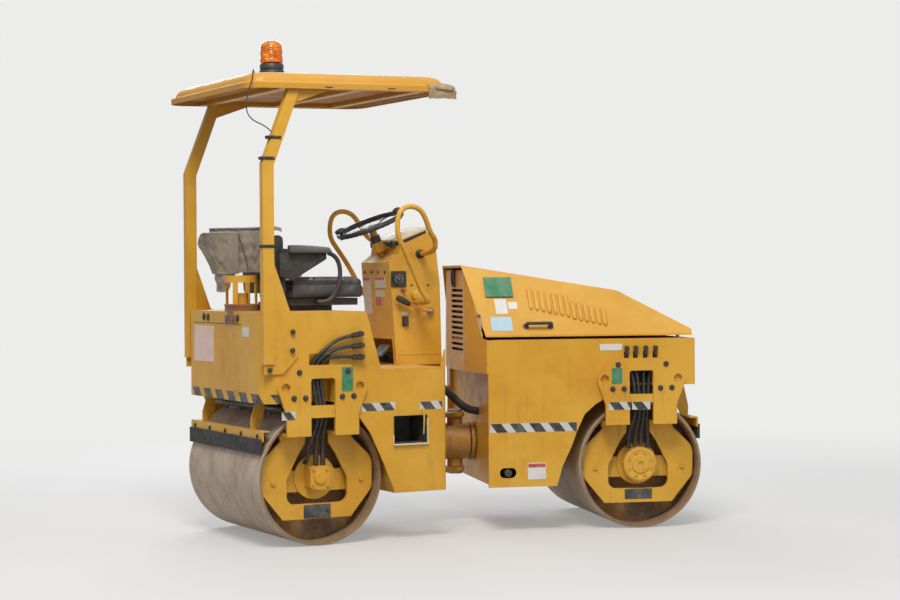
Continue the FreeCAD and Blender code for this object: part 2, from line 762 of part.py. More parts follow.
def spray_bar(axle_x, outward, top_z):
    """Water pipe across the drum with its nozzles and hangers."""
    x = axle_x + outward * 200
    z = top_z - 34
    pieces = [peg((x, -drum_half, z), (x, drum_half, z), 21)]
    for y in [share * drum_half for share in (-0.6, -0.2, 0.2, 0.6)]:
        pieces.append(peg((x, y, z), (x, y, z - 36), 9, 6))
    for side in (-1, 1):
        pieces.append(box(x - 14, x + 14, side * (drum_half - 80) - 4, side * (drum_half - 80) + 4, z,
                          top_z - seat_gap))
    return fuse(pieces)


def pivot_bracket():
    """Two arms on the rear hull that take the frame joint's upright pin."""
    arms = []
    for z0, z1 in ((600, 625), (292, 317)):
        arm = prism_z(sharp([(rear_front_x, -150), (pivot_x - 10, -52), (pivot_x - 10, 52),
                             (rear_front_x, 150)]), z0, z1)
        end = rod((pivot_x, 0, z0), (pivot_x, 0, z1), 54)
        arms.append(cut(fuse([arm, end]), [rod((pivot_x, 0, z0 - 1), (pivot_x, 0, z1 + 1), 25)]))
    x = rear_front_x
    for y in (-96, 96):
        arms.append(prism_y(sharp([(x, 317), (x + 90, 317), (x + 14, 400), (x + 14, 520),
                                   (x + 90, 600), (x, 600)]), y - 6, y + 6))
    return fuse(arms)


def pivot_pins():
    """Upright pins of the frame joint with their capped heads, and the cylinder's anchor pin."""
    pins = []
    for low, high, head_low, head_high in ((556, 640, 625, 640), (278, 362, 278, 292)):
        pins.append(fuse([rod((pivot_x, 0, low), (pivot_x, 0, high), 25),
                          peg((pivot_x, 0, head_low), (pivot_x, 0, head_high), 42, 6)]))
    pins.append(rod((cylinder_anchor_x, cylinder_y, joint_axis_z - 58),
                    (cylinder_anchor_x, cylinder_y, joint_axis_z + 58), 13))
    return Part.makeCompound(pins)


def centre_link():
    """Joint casting: upright pin bores, the long bearing housing and the steering arm."""
    z = joint_axis_z
    barrel = rod((pivot_x - 98, 0, z), (130, 0, z), 102)
    column = rod((pivot_x, 0, 320), (pivot_x, 0, 597), 44)
    arms = []
    for z0, z1 in ((z + 22, z + 36), (z - 36, z - 22)):
        arms.append(prism_z([(pivot_x - 40, 60, 0), (pivot_x + 40, 60, 0),
                             (pivot_x + 34, steer_arm + 36, 0),
                             (pivot_x - 34, steer_arm + 36, 0)], z0, z1))
    bores = [rod((pivot_x, 0, 550), (pivot_x, 0, 600), 25.4),
             rod((pivot_x, 0, 318), (pivot_x, 0, 368), 25.4),
             rod((94, 0, z), (131, 0, z), 62 + running_gap)]
    return cut(fuse([barrel, column] + arms), bores)


def pivot_flange():
    """Bolted flange and trunnion that carry the front frame on the joint casting."""
    z = joint_axis_z
    return fuse([rod((137, 0, z), (front_wall_x - wall_plate, 0, z), 108),
                 rod((96, 0, z), (137, 0, z), 62)])


def steering_cylinder():
    """Barrel with its rear eye, and the rod with its front eye between the arm's plates."""
    anchor = Vector(cylinder_anchor_x, cylinder_y, joint_axis_z)
    turn = math.radians(rest_steer)
    eye = Vector(pivot_x - steer_arm * math.sin(turn), steer_arm * math.cos(turn),
                 joint_axis_z)
    along = eye - anchor
    length = along.Length
    angle = math.degrees(math.atan2(along.y, along.x))
    barrel = fuse([rod((26, 0, 0), (300, 0, 0), 32), rod((0, 0, -22), (0, 0, 22), 30),
                   peg((280, 0, 0), (312, 0, 0), 38, 8)])
    barrel = cut(barrel, [rod((0, 0, -23), (0, 0, 23), 13 + seat_gap),
                          rod((60, 0, 0), (313, 0, 0), 15 + running_gap)])
    ram = fuse([rod((240, 0, 0), (length - 26, 0, 0), 15),
                rod((length, 0, -20), (length, 0, 20), 30)])
    for piece in (barrel, ram):
        piece.rotate(Vector(0, 0, 0), Vector(0, 0, 1), angle)
        piece.translate(anchor)
    return barrel, ram


def front_arch():
    """Rear edge of the front frame over its drum, from the bottom up to the shelf."""
    x = front_axle_x
    return [(x - 490, front_bottom_z), (x - 458, 356), (x - 406, 464), (x - 378, 540),
            (x - 332, 637), (x - 270, 690), (x - 200, 730), (x - 120, front_shelf_z)]


def fork_hole():
    """Opening in the front frame's near side behind the fork's slot, with a way per hose."""
    u = front_axle_x + fork_shift
    y = -body_half
    slot_top = drum_r + fork_slot_top
    room = box(u - fork_slot_half, u + fork_slot_half, y - 1, y + 48, front_shelf_z - 10, slot_top)
    ways = [box(x - 13, x + 13, y - 1, y + 48, slot_top - 1, front_port_z - 20)
            for x in [front_axle_x + dx for dx in front_hose_dx]]
    return fuse([room] + ways)


def front_side():
    """Near side plate of the front frame."""
    outline = [(front_rear_x, front_bottom_z)] + front_arch()
    outline += [(front_end_x, front_shelf_z), (front_end_x, front_top_z),
                (front_rear_x, front_top_z)]
    plate = prism_y(sharp(outline), -body_half, -body_half + side_plate)
    return cut(plate, [fork_hole()])


def exhaust_hole():
    return prism_y([(191, 299, 26), (283, 299, 26), (283, 353, 26), (191, 353, 26)],
                   -body_half - 1, -body_half + side_plate + 1)


def front_pan():
    """Bent plate between the side plates: rear wall, floor, wheel arch, shelf and end."""
    line = [(front_wall_x, front_top_z), (front_wall_x, front_bottom_z)] + front_arch()
    line += [(front_end_x, front_shelf_z), (front_end_x, front_top_z)]
    wire = Part.makePolygon([Vector(x, 0, z) for x, z in line])
    face = wire.makeOffset2D(wall_plate, 2, True, True, False)
    inner = body_half - side_plate
    pan = face.extrude(Vector(0, 2 * inner, 0))
    pan.translate(Vector(0, -inner, 0))
    return cut(pan, [fork_hole()])


def front_rim():
    """Ledge round the top of the front frame, with the lugs and pins of the hood's hinge."""
    inner = body_half - side_plate
    rim_width = 111
    ledge = box(front_wall_x + wall_plate, front_end_x - wall_plate, -inner, inner,
                front_top_z - 8, front_top_z)
    half = inner - rim_width
    pieces = [cut(ledge, [box(front_rear_x + 70, front_end_x - 68, -half, half,
                              front_top_z - 20, front_top_z + 20)])]
    for side in (-1, 1):
        y = side * hinge_y
        pieces.append(prism_y(sharp([(hinge_x - 16, front_top_z), (hinge_x, front_top_z),
                                     (hinge_x + 7, hinge_z - 7), (hinge_x + 7, hinge_z + 7),
                                     (hinge_x - 9, hinge_z + 9)]), y - 5, y + 5))
        pieces.append(rod((hinge_x, y, hinge_z), (hinge_x, y + side * 28, hinge_z), 5))
    return fuse(pieces)


def hood_section(drop):
    """Outline of the hood across the machine, drawn in by drop."""
    lean = math.tan(hood_lean)
    half = hood_half - drop
    top = hood_top_z + 40
    top_half = half - lean * (top - hood_crease_z)
    low = hood_bottom_z - 4
    return [(-half, low, 0), (half, low, 0), (half, hood_crease_z, 24),
            (top_half, top, 0), (-top_half, top, 0), (-half, hood_crease_z, 24)]


def hood_profile(drop):
    """Side outline of the hood, drawn in by drop; the room inside runs on past its rear end."""
    low = hood_bottom_z - (6 if drop else 0)
    rear_drop = 40 if drop else 0
    nose = front_end_x + 6
    return [(front_rear_x + 1 - rear_drop, low, 0), (nose - drop, low, 0),
            (nose - 2 - drop, hood_nose_z - drop, 10),
            (front_end_x - 385, hood_ridge_z - 1.1 * drop, 60),
            (44 - rear_drop, hood_top_z - 0.9 * drop, 0)]


def louvre(x, tall, mid_z, inner):
    """One pressed rib of the hood's side, standing out of its slope."""
    bump = prism_z(sharp([(x, 4), (x + 5, -9), (x + 15, -9), (x + 20, 4)]), 0, tall)
    bump.rotate(Vector(0, 0, 0), Vector(1, 0, 0), -math.degrees(hood_lean))
    foot_z = mid_z - tall / 2
    bump.translate(Vector(0, (foot_z - hood_crease_z) * math.tan(hood_lean) - hood_half, foot_z))
    return bump.cut(inner)


def hood():
    """Tilting hood: folded shell with pressed ribs, and the knuckles of its hinge."""
    length = front_end_x + 100
    wide = body_half + 50
    outer, inner = [prism_x(hood_section(drop), 0, length).common(
        prism_y(hood_profile(drop), -wide, wide)) for drop in (0, hood_skin)]
    pieces = [cut(outer, [inner])]
    for i in range(13):
        tall, above = (122, 6.5) if i < 7 else (100, -11.5)
        middle = (hood_crease_z + hood_top_z) / 2 + above
        rib = louvre(398 + i * 34, tall, middle - i * 7, inner)
        pieces += [rib, mirrored(rib)]
    tools = []
    for side in (-1, 1):
        near, far = side * (hinge_y + 5.5), side * (hinge_y + 23)
        pieces.append(rod((hinge_x, near, hinge_z), (hinge_x, far, hinge_z), 10))
        tools.append(rod((hinge_x, side * (hinge_y - 15), hinge_z),
                         (hinge_x, far + side * 6, hinge_z), 5 + seat_gap))
        tools.append(box(hinge_x + 4, hinge_x + 30, side * hinge_y - 7, side * hinge_y + 7,
                         hood_bottom_z - 4, hinge_z + 16))
    return cut(fuse(pieces), tools)


def hood_handles():
    """Pull handles low on the hood's sides, standing square to their slope."""
    z = 1116.0
    y = (z - hood_crease_z) * math.tan(hood_lean) - hood_half
    out = Vector(0, -math.cos(hood_lean), math.sin(hood_lean))
    foot = Vector(362, y, z) + out * seat_gap
    away = out * 34
    run = Vector(138, 0, 0)
    grip = bar([foot, foot + away, foot + away + run, foot + run], 9, 16)
    return both_sides(grip)


def cowl():
    """Radiator cowl between the frame and the hood: flat grille face and two swept sides."""
    t = wall_plate
    face_x = 65.0
    flat_half = hood_top_half - 8
    side_x = front_rear_x - t
    low = front_top_z - 181
    top = hood_top_z - 27
    strip = prism_z(sharp([(face_x, -flat_half), (side_x, -body_half), (side_x + t, -body_half),
                           (face_x + t, -flat_half + 2), (face_x + t, flat_half - 2),
                           (side_x + t, body_half), (side_x, body_half), (face_x, flat_half)]),
                    low, top)
    half = hood_half - hood_skin - move_clear - 2
    top_half = half - math.tan(hood_lean) * (top - hood_crease_z)
    profile = [(body_half, low), (body_half, front_top_z), (half, front_top_z + 7),
               (half, hood_crease_z), (top_half, top)]
    across = prism_x(sharp(profile + [(-y, z) for y, z in reversed(profile)]), 0, 400)
    slots = [box(face_x - 1, face_x + t + 1, 40 - flat_half, 100, 975 + 30 * i, 991 + 30 * i)
             for i in range(12)]
    floor = prism_z(sharp([(face_x + t, 5 - flat_half), (front_wall_x - 8, 60 - hood_half),
                           (front_wall_x - 8, hood_half - 60), (face_x + t, flat_half - 5)]),
                    front_top_z - 9, front_top_z - 1)
    return fuse([cut(strip.common(across), slots), floor])


def engine():
    """Plain block for the engine at its real place and size."""
    x0 = front_wall_x + 40
    low_x, high_x = front_axle_x - 530, front_axle_x - 380
    top = hood_ridge_z - 129
    return prism_y(sharp([(x0, 300), (low_x, 300), (low_x, 820), (high_x, 900), (high_x, top),
                          (x0, top)]), -200, 200)


def exhaust():
    """Tail pipe from the engine to the opening in the near side."""
    return bar([(237, -201, 420), (237, -300, 420), (237, -420, 326),
                (237, -body_half - 6, 326)], 20, 80, 10)


# Where each rear hose leaves the hull's side: x from the rear axle and z
rear_ports = [(200, 1097), (204, 1037), (204, 976)]
motor_port_dx = [-8, 31]
motor_ferrule = 86.0


def rear_hoses():
    """Three hoses over the hull's side and down the fork, two to the motor and one to the hub."""
    side = -body_half
    y = side - 22
    behind = side + 16
    inside = -fork_inner
    hub_y = -carrier_y - flange_rise
    port_y = hub_y - 38
    port_z = drum_r + 62
    first, second = motor_port_dx
    # Each point as x from the rear axle, y, z
    routes = [
        [(88, y - 1, 1080), (28, y, 1046), (-28, y + 7, 1000), (-62, side + 10, 955),
         (-64, behind, 900), (-56, behind, 840), (-44, behind, 775), (-32, behind, 705),
         (-26, inside - 69, 640), (-40, inside - 49, 582), (-56, inside - 27, 525),
         (-60, inside - 9, 476), (-54, hub_y - 32, 429), (-54, hub_y, 429)],
        [(92, y - 1, 1030), (36, y, 1012), (-14, y + 9, 985), (-40, side + 10, 950),
         (-41, behind, 895), (-34, behind, 835), (-22, behind, 772), (-10, behind, 704),
         (0, inside - 69, 645), (-12, inside - 37, 590), (first, port_y, port_z + 128),
         (first, port_y, port_z)],
        [(98, y, 980), (45, side - 18, 982), (0, side + 1, 975), (-17, behind, 928),
         (-18, behind, 875), (-10, behind, 820), (0, behind, 762), (12, behind, 700),
         (24, inside - 69, 645), (18, inside - 37, 590), (second, port_y, port_z + 128),
         (second, port_y, port_z)]]
    hoses, fittings = [], []
    for (dx, z), route, tail in zip(rear_ports, routes, (8, motor_ferrule, motor_ferrule)):
        x = rear_axle_x + dx
        points = [(x, y, z)] + [(rear_axle_x + a, b, c) for a, b, c in route]
        made, lead_end, tail_end = ferruled("rear hose", points, 52, tail)
        hoses.append(made)
        elbow = peg((x, -body_half, z), (x, y - 14, z), 15, 6)
        fittings += [fuse([elbow, lead_end]), tail_end]
    return Part.makeCompound(hoses), Part.makeCompound(fittings)


front_hose_dx = [-95, -44, 13, 68]
front_port_z = 996.0


def front_hoses():
    """Four hoses from elbows in the frame's side down behind the fork and through its slot."""
    y = -body_half - 14
    behind = -body_half + 21
    hub_y = -carrier_y - flange_rise
    low_y = hub_y - 27
    # x from the axle of each hose at its elbow, over the clamp, at it, under it, at the slot's
    # foot and at the hub, and the height where its ferrule ends
    courses = [(-95, -54, -38, -32, -36, -54, 436), (-44, -28, -14, -8, -6, -15, 452),
               (13, 9, 11, 16, 18, 18, 452), (68, 40, 35, 38, 38, 58, 436)]
    hoses, fittings = [], []
    for course in courses:
        x, slot_x, clamp_x, under_x, low_x, end_x = [front_axle_x + dx for dx in course[:6]]
        end_z = course[6]
        route = [(x, y, front_port_z), (x, y, front_port_z - 25), (x, behind - 2, 941),
                 ((2 * x + slot_x) / 3, behind, 893), (slot_x, behind, 838),
                 ((slot_x + clamp_x) / 2, behind, 780), (clamp_x, behind, 720),
                 (under_x, -fork_inner - 69, 662), (low_x, -fork_inner - 37, 600),
                 ((low_x + end_x) / 2, -fork_inner - 11, 555), (end_x, low_y, 510),
                 (end_x, low_y, end_z)]
        made, lead_end, tail_end = ferruled("front hose", route, 12, 26)
        hoses.append(made)
        elbow = peg((x, -body_half, front_port_z), (x, y - 13, front_port_z), 12, 6)
        end = peg((end_x, low_y, end_z + 10), (end_x, hub_y, end_z + 10), 10, 6)
        fittings += [fuse([elbow, lead_end]), fuse([tail_end, end])]
    return Part.makeCompound(hoses), Part.makeCompound(fittings)


def beacon_cable():
    """Thin cable from the beacon over the roof's corner, hanging to the near post."""
    top = roof_rear_z + 112
    edge = -roof_half
    # x from the roof's rear edge, y, z
    over = [(220, -180, top - 3), (164, -290, top - 4), (114, -395, top - 5),
            (82, edge + 115, top - 8), (60, edge + 70, top - 22), (46, edge + 40, top - 47),
            (30, edge + 10, top - 72), (14, edge - 2, top - 102), (4, edge - 2, top - 142),
            (-4, edge + 2, top - 182), (-4, edge + 6, top - 222), (12, edge + 13, top - 256)]
    # x from the post's rear face low down, y, z
    down = [(-42, edge + 20, top - 280), (0, edge + 28, top - 294), (32, edge + 35, top - 308),
            (58, edge + 40, top - 328)]
    points = [(beacon_x - 86, -28, top), (beacon_x - 125, -80, top)]
    points += [(roof_rear_x + x, y, z) for x, y, z in over]
    points += [(post_rear_x + x, y, z) for x, y, z in down]
    return hose("beacon cable", points, 3.0, 5)


def build():
    rear("rear_body", rear_hull())
    rear("step_plate", step_lip())
    near_fork = fork(rear_axle_x)
    rear("rear_fork_near", near_fork)
    rear("rear_fork_far", mirrored(near_fork))
    far = other_end(hub(rear_axle_x, False), rear_axle_x)
    rear("rear_hubs", Part.makeCompound([hub(rear_axle_x, True), far]))
    beam, blade = scraper(rear_axle_x, -1, panel_bottom_z)
    rear("rear_scraper", beam)
    rear("rear_scraper_blade", blade)
    rear("rear_spray_bar", spray_bar(rear_axle_x, -1, panel_bottom_z))
    rear("rear_drum", drum(rear_axle_x))
    rear("rear_hose_clamp", clamp(rear_axle_x, 668, 732))
    hoses, fittings = rear_hoses()
    rear("rear_hoses", hoses)
    rear("rear_hose_fittings", fittings)
    rear("canopy_posts", posts())
    rear("canopy_frame", canopy_frame())
    rear("canopy_roof", canopy_roof())
    rear("corner_rag", corner_rag())
    base, lens = beacon()
    rear("beacon_base", base)
    rear("beacon_lens", lens)
    rear("beacon_cable", beacon_cable())
    names = ("seat_base", "seat_cushion", "seat_back", "arm_rests", "arm_rest_frames")
    for name, shape in zip(names, seat()):
        rear(name, shape)
    rear("seat_cover", cover_solid())
    rear("filler_guard", filler_guard())
    rear("console", console())
    rear("dash", dash())
    rear("steering_wheel", steering_wheel())
    rear("steering_column", steering_column())
    rear("handrails", handrails())
    rear("drive_lever", drive_lever())
    rear("pedal", pedal())
    rear("pivot_bracket", pivot_bracket())
    rear("pivot_pins", pivot_pins())
    barrel, ram = steering_cylinder()
    rear("steering_barrel", barrel)
    rear("steering_rod", ram)

    front("centre_link", centre_link())
    front("pivot_flange", pivot_flange())
    plate = front_side()
    front("front_side_near", cut(plate, [exhaust_hole()]))
    front("front_side_far", mirrored(plate))
    front("front_pan", front_pan())
    front("front_rim", front_rim())
    front("engine_block", engine())
    front("exhaust_pipe", exhaust())
    near_fork = fork(front_axle_x)
    front("front_fork_near", near_fork)
    front("front_fork_far", mirrored(near_fork))
    far = other_end(hub(front_axle_x, True), front_axle_x)
    front("front_hubs", Part.makeCompound([hub(front_axle_x, False), far]))
    beam, blade = scraper(front_axle_x, 1, front_shelf_z)
    front("front_scraper", beam)
    front("front_scraper_blade", blade)
    front("front_spray_bar", spray_bar(front_axle_x, 1, front_shelf_z))
    front("front_drum", drum(front_axle_x))
    front("front_hose_clamp", clamp(front_axle_x, 700, 742))
    hoses, fittings = front_hoses()
    front("front_hoses", hoses)
    front("front_hose_fittings", fittings)
    front("radiator_cowl", cowl())
    front("hood", hood())
    front("hood_handles", hood_handles())


build()
os.makedirs("parts", exist_ok=True)
for name, shape in PARTS.items():
    placed = shape.copy()
    placed.translate(Vector(origin_x, origin_y, 0))
    placed.exportStep("parts/" + name + ".step")
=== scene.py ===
import math

import bpy
from mathutils import Matrix, Vector, noise


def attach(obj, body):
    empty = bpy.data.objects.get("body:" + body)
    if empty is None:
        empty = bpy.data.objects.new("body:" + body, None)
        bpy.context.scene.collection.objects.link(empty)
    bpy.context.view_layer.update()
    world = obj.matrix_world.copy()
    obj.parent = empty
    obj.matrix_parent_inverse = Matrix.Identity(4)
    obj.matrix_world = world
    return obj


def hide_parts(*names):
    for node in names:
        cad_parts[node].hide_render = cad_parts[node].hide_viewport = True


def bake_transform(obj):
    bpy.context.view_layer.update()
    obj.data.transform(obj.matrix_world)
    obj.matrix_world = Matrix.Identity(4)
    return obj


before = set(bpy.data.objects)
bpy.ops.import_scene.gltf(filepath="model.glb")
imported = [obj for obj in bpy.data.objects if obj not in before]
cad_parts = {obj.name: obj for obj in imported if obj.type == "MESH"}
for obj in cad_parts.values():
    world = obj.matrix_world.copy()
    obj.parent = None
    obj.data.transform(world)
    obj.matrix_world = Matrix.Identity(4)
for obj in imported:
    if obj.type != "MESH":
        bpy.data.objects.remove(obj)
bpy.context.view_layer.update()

# The machine in metres: X forward, Y to its left, Z up. Pieces are drawn in straight coordinates
# with x = 0 midway between the axles, then put where the frame they belong to stands.
ORIGIN = Vector((0.001, 0.144, 0.0))
PIVOT_X = 0.058
REST_STEER = math.radians(-16.4)
DRUM_R = 0.35
REAR_AXLE_X = -1.0
FRONT_AXLE_X = 1.0
BODY_SIDE = -0.551
FORK_SIDE = -0.569
FORK_LOW_SIDE = -0.451
REAR_PANEL_X = -1.34
HOOD_CREASE = Vector((0, -0.490, 1.070))
HOOD_OUT = Vector((0, -0.8504, 0.5262))
HOOD_LEAN = 0.6188
CONSOLE_SIDE = -0.176
WHEEL_CENTRE = Vector((-0.465, 0.0, 1.679))
WHEEL_TILT = math.radians(22.0)
WHEEL_R = 0.182
ROOF_REAR = Vector((-1.432, 0.0, 2.350))
ROOF_FRONT_X = -0.250
ROOF_HALF = 0.590
ROOF_TILT = math.radians(1.0)

CAMERA_AT = Vector((-5.183, -9.7403, 1.3953))
CAMERA_YAW = math.radians(-28.17)
CAMERA_PITCH = math.radians(-0.71)
CAMERA_ROLL = math.radians(-0.34)
CAMERA_LENS = 78.17
BACKDROP = (0.84, 0.84, 0.83)
FLOOR_GLOW = (0.26, 0.26, 0.255)
FADE_FROM, FADE_TO = 2.2, 7.5

# Ways that surfaces face: to the machine's near side, to its rear, and up the console's slope
NEAR = (0, -1, 0)
REAR = (-1, 0, 0)
CONSOLE_OUT = (-1, 0, -0.0745)
COWL_OUT = (-0.983, -0.183, 0)

REAR_BODIES = ("rear_frame", "rear_drum", "steering_wheel", "steering_barrel", "steering_rod")
REAR_PLACE = Matrix.Translation(ORIGIN)
PIVOT = Matrix.Translation(Vector((PIVOT_X, 0, 0)))
FRONT_PLACE = REAR_PLACE @ PIVOT @ Matrix.Rotation(REST_STEER, 4, "Z") @ PIVOT.inverted()
ROOF_PLACE = (Matrix.Translation(ROOF_REAR) @ Matrix.Rotation(-ROOF_TILT, 4, "Y")
              @ Matrix.Translation(Vector((-ROOF_REAR.x, 0, 0))))
WHEEL_PLACE = Matrix.Translation(WHEEL_CENTRE) @ Matrix.Rotation(-WHEEL_TILT, 4, "Y")


# Camera, floor and light

def add_camera():
    yaw, pitch, roll = CAMERA_YAW, CAMERA_PITCH, CAMERA_ROLL
    forward = Vector((-math.sin(yaw) * math.cos(pitch), math.cos(yaw) * math.cos(pitch),
                      math.sin(pitch)))
    right = Vector((math.cos(yaw), math.sin(yaw), 0))
    up = right.cross(forward)
    right, up = (math.cos(roll) * right + math.sin(roll) * up,
                 math.cos(roll) * up - math.sin(roll) * right)
    data = bpy.data.cameras.new("photo_camera")
    data.lens = CAMERA_LENS
    data.sensor_width = 36.0
    data.clip_end = 100.0
    camera = bpy.data.objects.new("photo_camera", data)
    turn = Matrix((right, up, -forward)).transposed().to_4x4()
    camera.matrix_world = Matrix.Translation(CAMERA_AT + ORIGIN) @ turn
    bpy.context.scene.collection.objects.link(camera)
    bpy.context.scene.camera = camera


def add_light(name, at, aim, size, power, colour=(1, 1, 1)):
    data = bpy.data.lights.new(name, "AREA")
    data.shape = "RECTANGLE"
    data.size, data.size_y = size
    data.energy = power
    data.color = colour
    lamp = bpy.data.objects.new(name, data)
    lamp.location = at
    lamp.rotation_euler = (Vector(aim) - Vector(at)).to_track_quat("-Z", "Y").to_euler()
    bpy.context.scene.collection.objects.link(lamp)


def pale_by_camera(material):
    """Floor tone for the camera and for reflections, turning into the backdrop's further out."""
    nodes, links = material.node_tree.nodes, material.node_tree.links
    path = nodes.new("ShaderNodeLightPath")
    seen = nodes.new("ShaderNodeMath")
    seen.operation = "MAXIMUM"
    links.new(path.outputs["Is Camera Ray"], seen.inputs[0])
    links.new(path.outputs["Is Glossy Ray"], seen.inputs[1])
    away = nodes.new("ShaderNodeVectorMath")
    away.operation = "LENGTH"
    links.new(nodes.new("ShaderNodeTexCoord").outputs["Object"], away.inputs[0])
    glows = []
    for tone in (FLOOR_GLOW, BACKDROP):
        glow = nodes.new("ShaderNodeEmission")
        glow.inputs["Color"].default_value = (*tone, 1)
        links.new(seen.outputs[0], glow.inputs["Strength"])
        glows.append(glow.outputs[0])
    add = nodes.new("ShaderNodeAddShader")
    links.new(nodes["Principled BSDF"].outputs[0], add.inputs[0])
    links.new(glows[0], add.inputs[1])
    fade = nodes.new("ShaderNodeMapRange")
    fade.interpolation_type = "SMOOTHSTEP"
    fade.inputs["From Min"].default_value = FADE_FROM
    fade.inputs["From Max"].default_value = FADE_TO
    links.new(away.outputs["Value"], fade.inputs["Value"])
    join_shaders(links, nodes.new("ShaderNodeMixShader"), fade.outputs["Result"],
                 add.outputs[0], glows[1], nodes["Material Output"])


def join_shaders(links, mix, factor, first, second, output):
    for source, socket in zip((factor, first, second), mix.inputs):
        links.new(source, socket)
    links.new(mix.outputs[0], output.inputs["Surface"])


def add_stage():
    scene = bpy.context.scene
    scene.view_settings.view_transform = "Standard"
    world = bpy.data.worlds.new("studio")
    scene.world = world
    world.use_nodes = True
    nodes = world.node_tree.nodes
    back = nodes["Background"]
    back.inputs["Color"].default_value = (0.93, 0.95, 1.0, 1)
    back.inputs["Strength"].default_value = 0.55
    seen = nodes.new("ShaderNodeBackground")
    seen.inputs["Color"].default_value = (*BACKDROP, 1)
    join_shaders(world.node_tree.links, nodes.new("ShaderNodeMixShader"),
                 nodes.new("ShaderNodeLightPath").outputs["Is Camera Ray"], back.outputs[0],
                 seen.outputs[0], nodes["World Output"])

    bpy.ops.mesh.primitive_plane_add(size=60, location=(0, 0, 0))
    floor = bpy.context.object
    floor.name = "floor"
    paint = bpy.data.materials.new("pale_floor")
    paint.use_nodes = True
    shader = paint.node_tree.nodes["Principled BSDF"]
    shader.inputs["Base Color"].default_value = (0.42, 0.415, 0.41, 1)
    shader.inputs["Roughness"].default_value = 0.9
    floor.data.materials.append(paint)
    pale_by_camera(paint)

    add_light("key", (-3.0, -4.5, 7.5), (0, 0, 0.9), (3.0, 3.0), 520, (1.0, 0.97, 0.92))
    add_light("fill", (5.5, -6.0, 3.2), (0.2, 0, 0.8), (3.5, 3.0), 60)
    add_light("back", (1.5, 6.5, 4.5), (0, 0, 1.0), (4.0, 2.5), 260, (0.95, 0.97, 1.0))


# Node helpers

class Recipe:
    """Small helper that adds and joins the nodes of one material."""

    def __init__(self, name):
        self.material = bpy.data.materials.new(name)
        self.material.use_nodes = True
        self.nodes = self.material.node_tree.nodes
        self.links = self.material.node_tree.links
        self.shader = self.nodes["Principled BSDF"]
        coordinates = self.nodes.new("ShaderNodeTexCoord")
        self.place = coordinates.outputs["Object"]
        self.normal = coordinates.outputs["Normal"]

    def add(self, kind, vector=None, **values):
        """New node with sockets set by name, and its vector from a source."""
        node = self.nodes.new("ShaderNode" + kind)
        for name, value in values.items():
            node.inputs[name.replace("_", " ")].default_value = value
        if vector:
            self.links.new(vector, node.inputs["Vector"])
        return node

    def join(self, source, target):
        if isinstance(source, (int, float)):
            target.default_value = source
        elif isinstance(source, tuple):
            target.default_value = (*source, 1.0)
        else:
            self.links.new(source, target)

    def mapped(self, scale=(1, 1, 1), place=(0, 0, 0), turn=(0, 0, 0), source=None):
        return self.add("Mapping", source or self.place, Scale=scale, Location=place,
                        Rotation=turn).outputs[0]

    def noise(self, scale, detail=3.0, rough=0.55, vector=None):
        return self.add("TexNoise", vector or self.place, Scale=scale, Detail=detail,
                        Roughness=rough).outputs["Fac"]

    def wave(self, scale, distortion=0.0, direction="X", vector=None):
        node = self.add("TexWave", vector or self.place, Scale=scale, Distortion=distortion)
        node.bands_direction = direction
        return node.outputs["Fac"]

    def band(self, value, low, high, out_low=0.0, out_high=1.0):
        """Clamped straight ramp of value between low and high."""
        node = self.add("MapRange", From_Min=low, From_Max=high, To_Min=out_low,
                        To_Max=out_high)
        self.links.new(value, node.inputs["Value"])
        return node.outputs["Result"]

    def math(self, operation, a, b=0.0):
        node = self.add("Math")
        node.operation = operation
        self.join(a, node.inputs[0])
        self.join(b, node.inputs[1])
        return node.outputs[0]

    def times(self, a, b):
        return self.math("MULTIPLY", a, b)

    def mix(self, factor, a, b):
        node = self.add("Mix")
        node.data_type = "RGBA"
        self.join(factor, node.inputs[0])
        self.join(a, node.inputs[6])
        self.join(b, node.inputs[7])
        return node.outputs[2]

    def patches(self, colour, other, texture, low, high, most=1.0):
        """Lays another colour over one where a noise texture is high."""
        return self.mix(self.band(self.noise(*texture), low, high, 0.0, most), colour, other)

    def axis(self, vector, name):
        node = self.add("SeparateXYZ")
        self.links.new(vector, node.inputs[0])
        return node.outputs[name]

    def facing_up(self, low, high, least=0.0):
        return self.band(self.axis(self.normal, "Z"), low, high, least, 1.0)

    def edges(self, radius):
        """How close a point is to a sharp edge, from the bevelled normal."""
        bevel = self.add("Bevel", Radius=radius)
        bevel.samples = 4
        dot = self.add("VectorMath")
        dot.operation = "DOT_PRODUCT"
        self.links.new(bevel.outputs[0], dot.inputs[0])
        self.links.new(self.add("NewGeometry").outputs["True Normal"], dot.inputs[1])
        return self.band(dot.outputs["Value"], 0.99, 0.80)

    def bump(self, height, strength, distance):
        node = self.add("Bump", Strength=strength, Distance=distance)
        self.links.new(height, node.inputs["Height"])
        self.links.new(node.outputs[0], self.shader.inputs["Normal"])

    def uneven(self, texture, low, high):
        """Roughness that a noise texture moves between two values."""
        return self.band(self.noise(*texture), 0.3, 0.7, low, high)

    def finish(self, colour, roughness, metallic=0.0):
        self.join(colour, self.shader.inputs["Base Color"])
        self.join(roughness, self.shader.inputs["Roughness"])
        self.join(metallic, self.shader.inputs["Metallic"])
        return self.material


# Finishes

YELLOW = (0.66, 0.325, 0.018)
YELLOW_FADED = (0.73, 0.40, 0.038)
YELLOW_DEEP = (0.50, 0.205, 0.012)
PRIMER_BROWN = (0.085, 0.050, 0.028)
DUST = (0.42, 0.35, 0.26)
GRIME = (0.105, 0.070, 0.040)
GRIME_FROM, GRIME_FULL = 1.15, 0.25


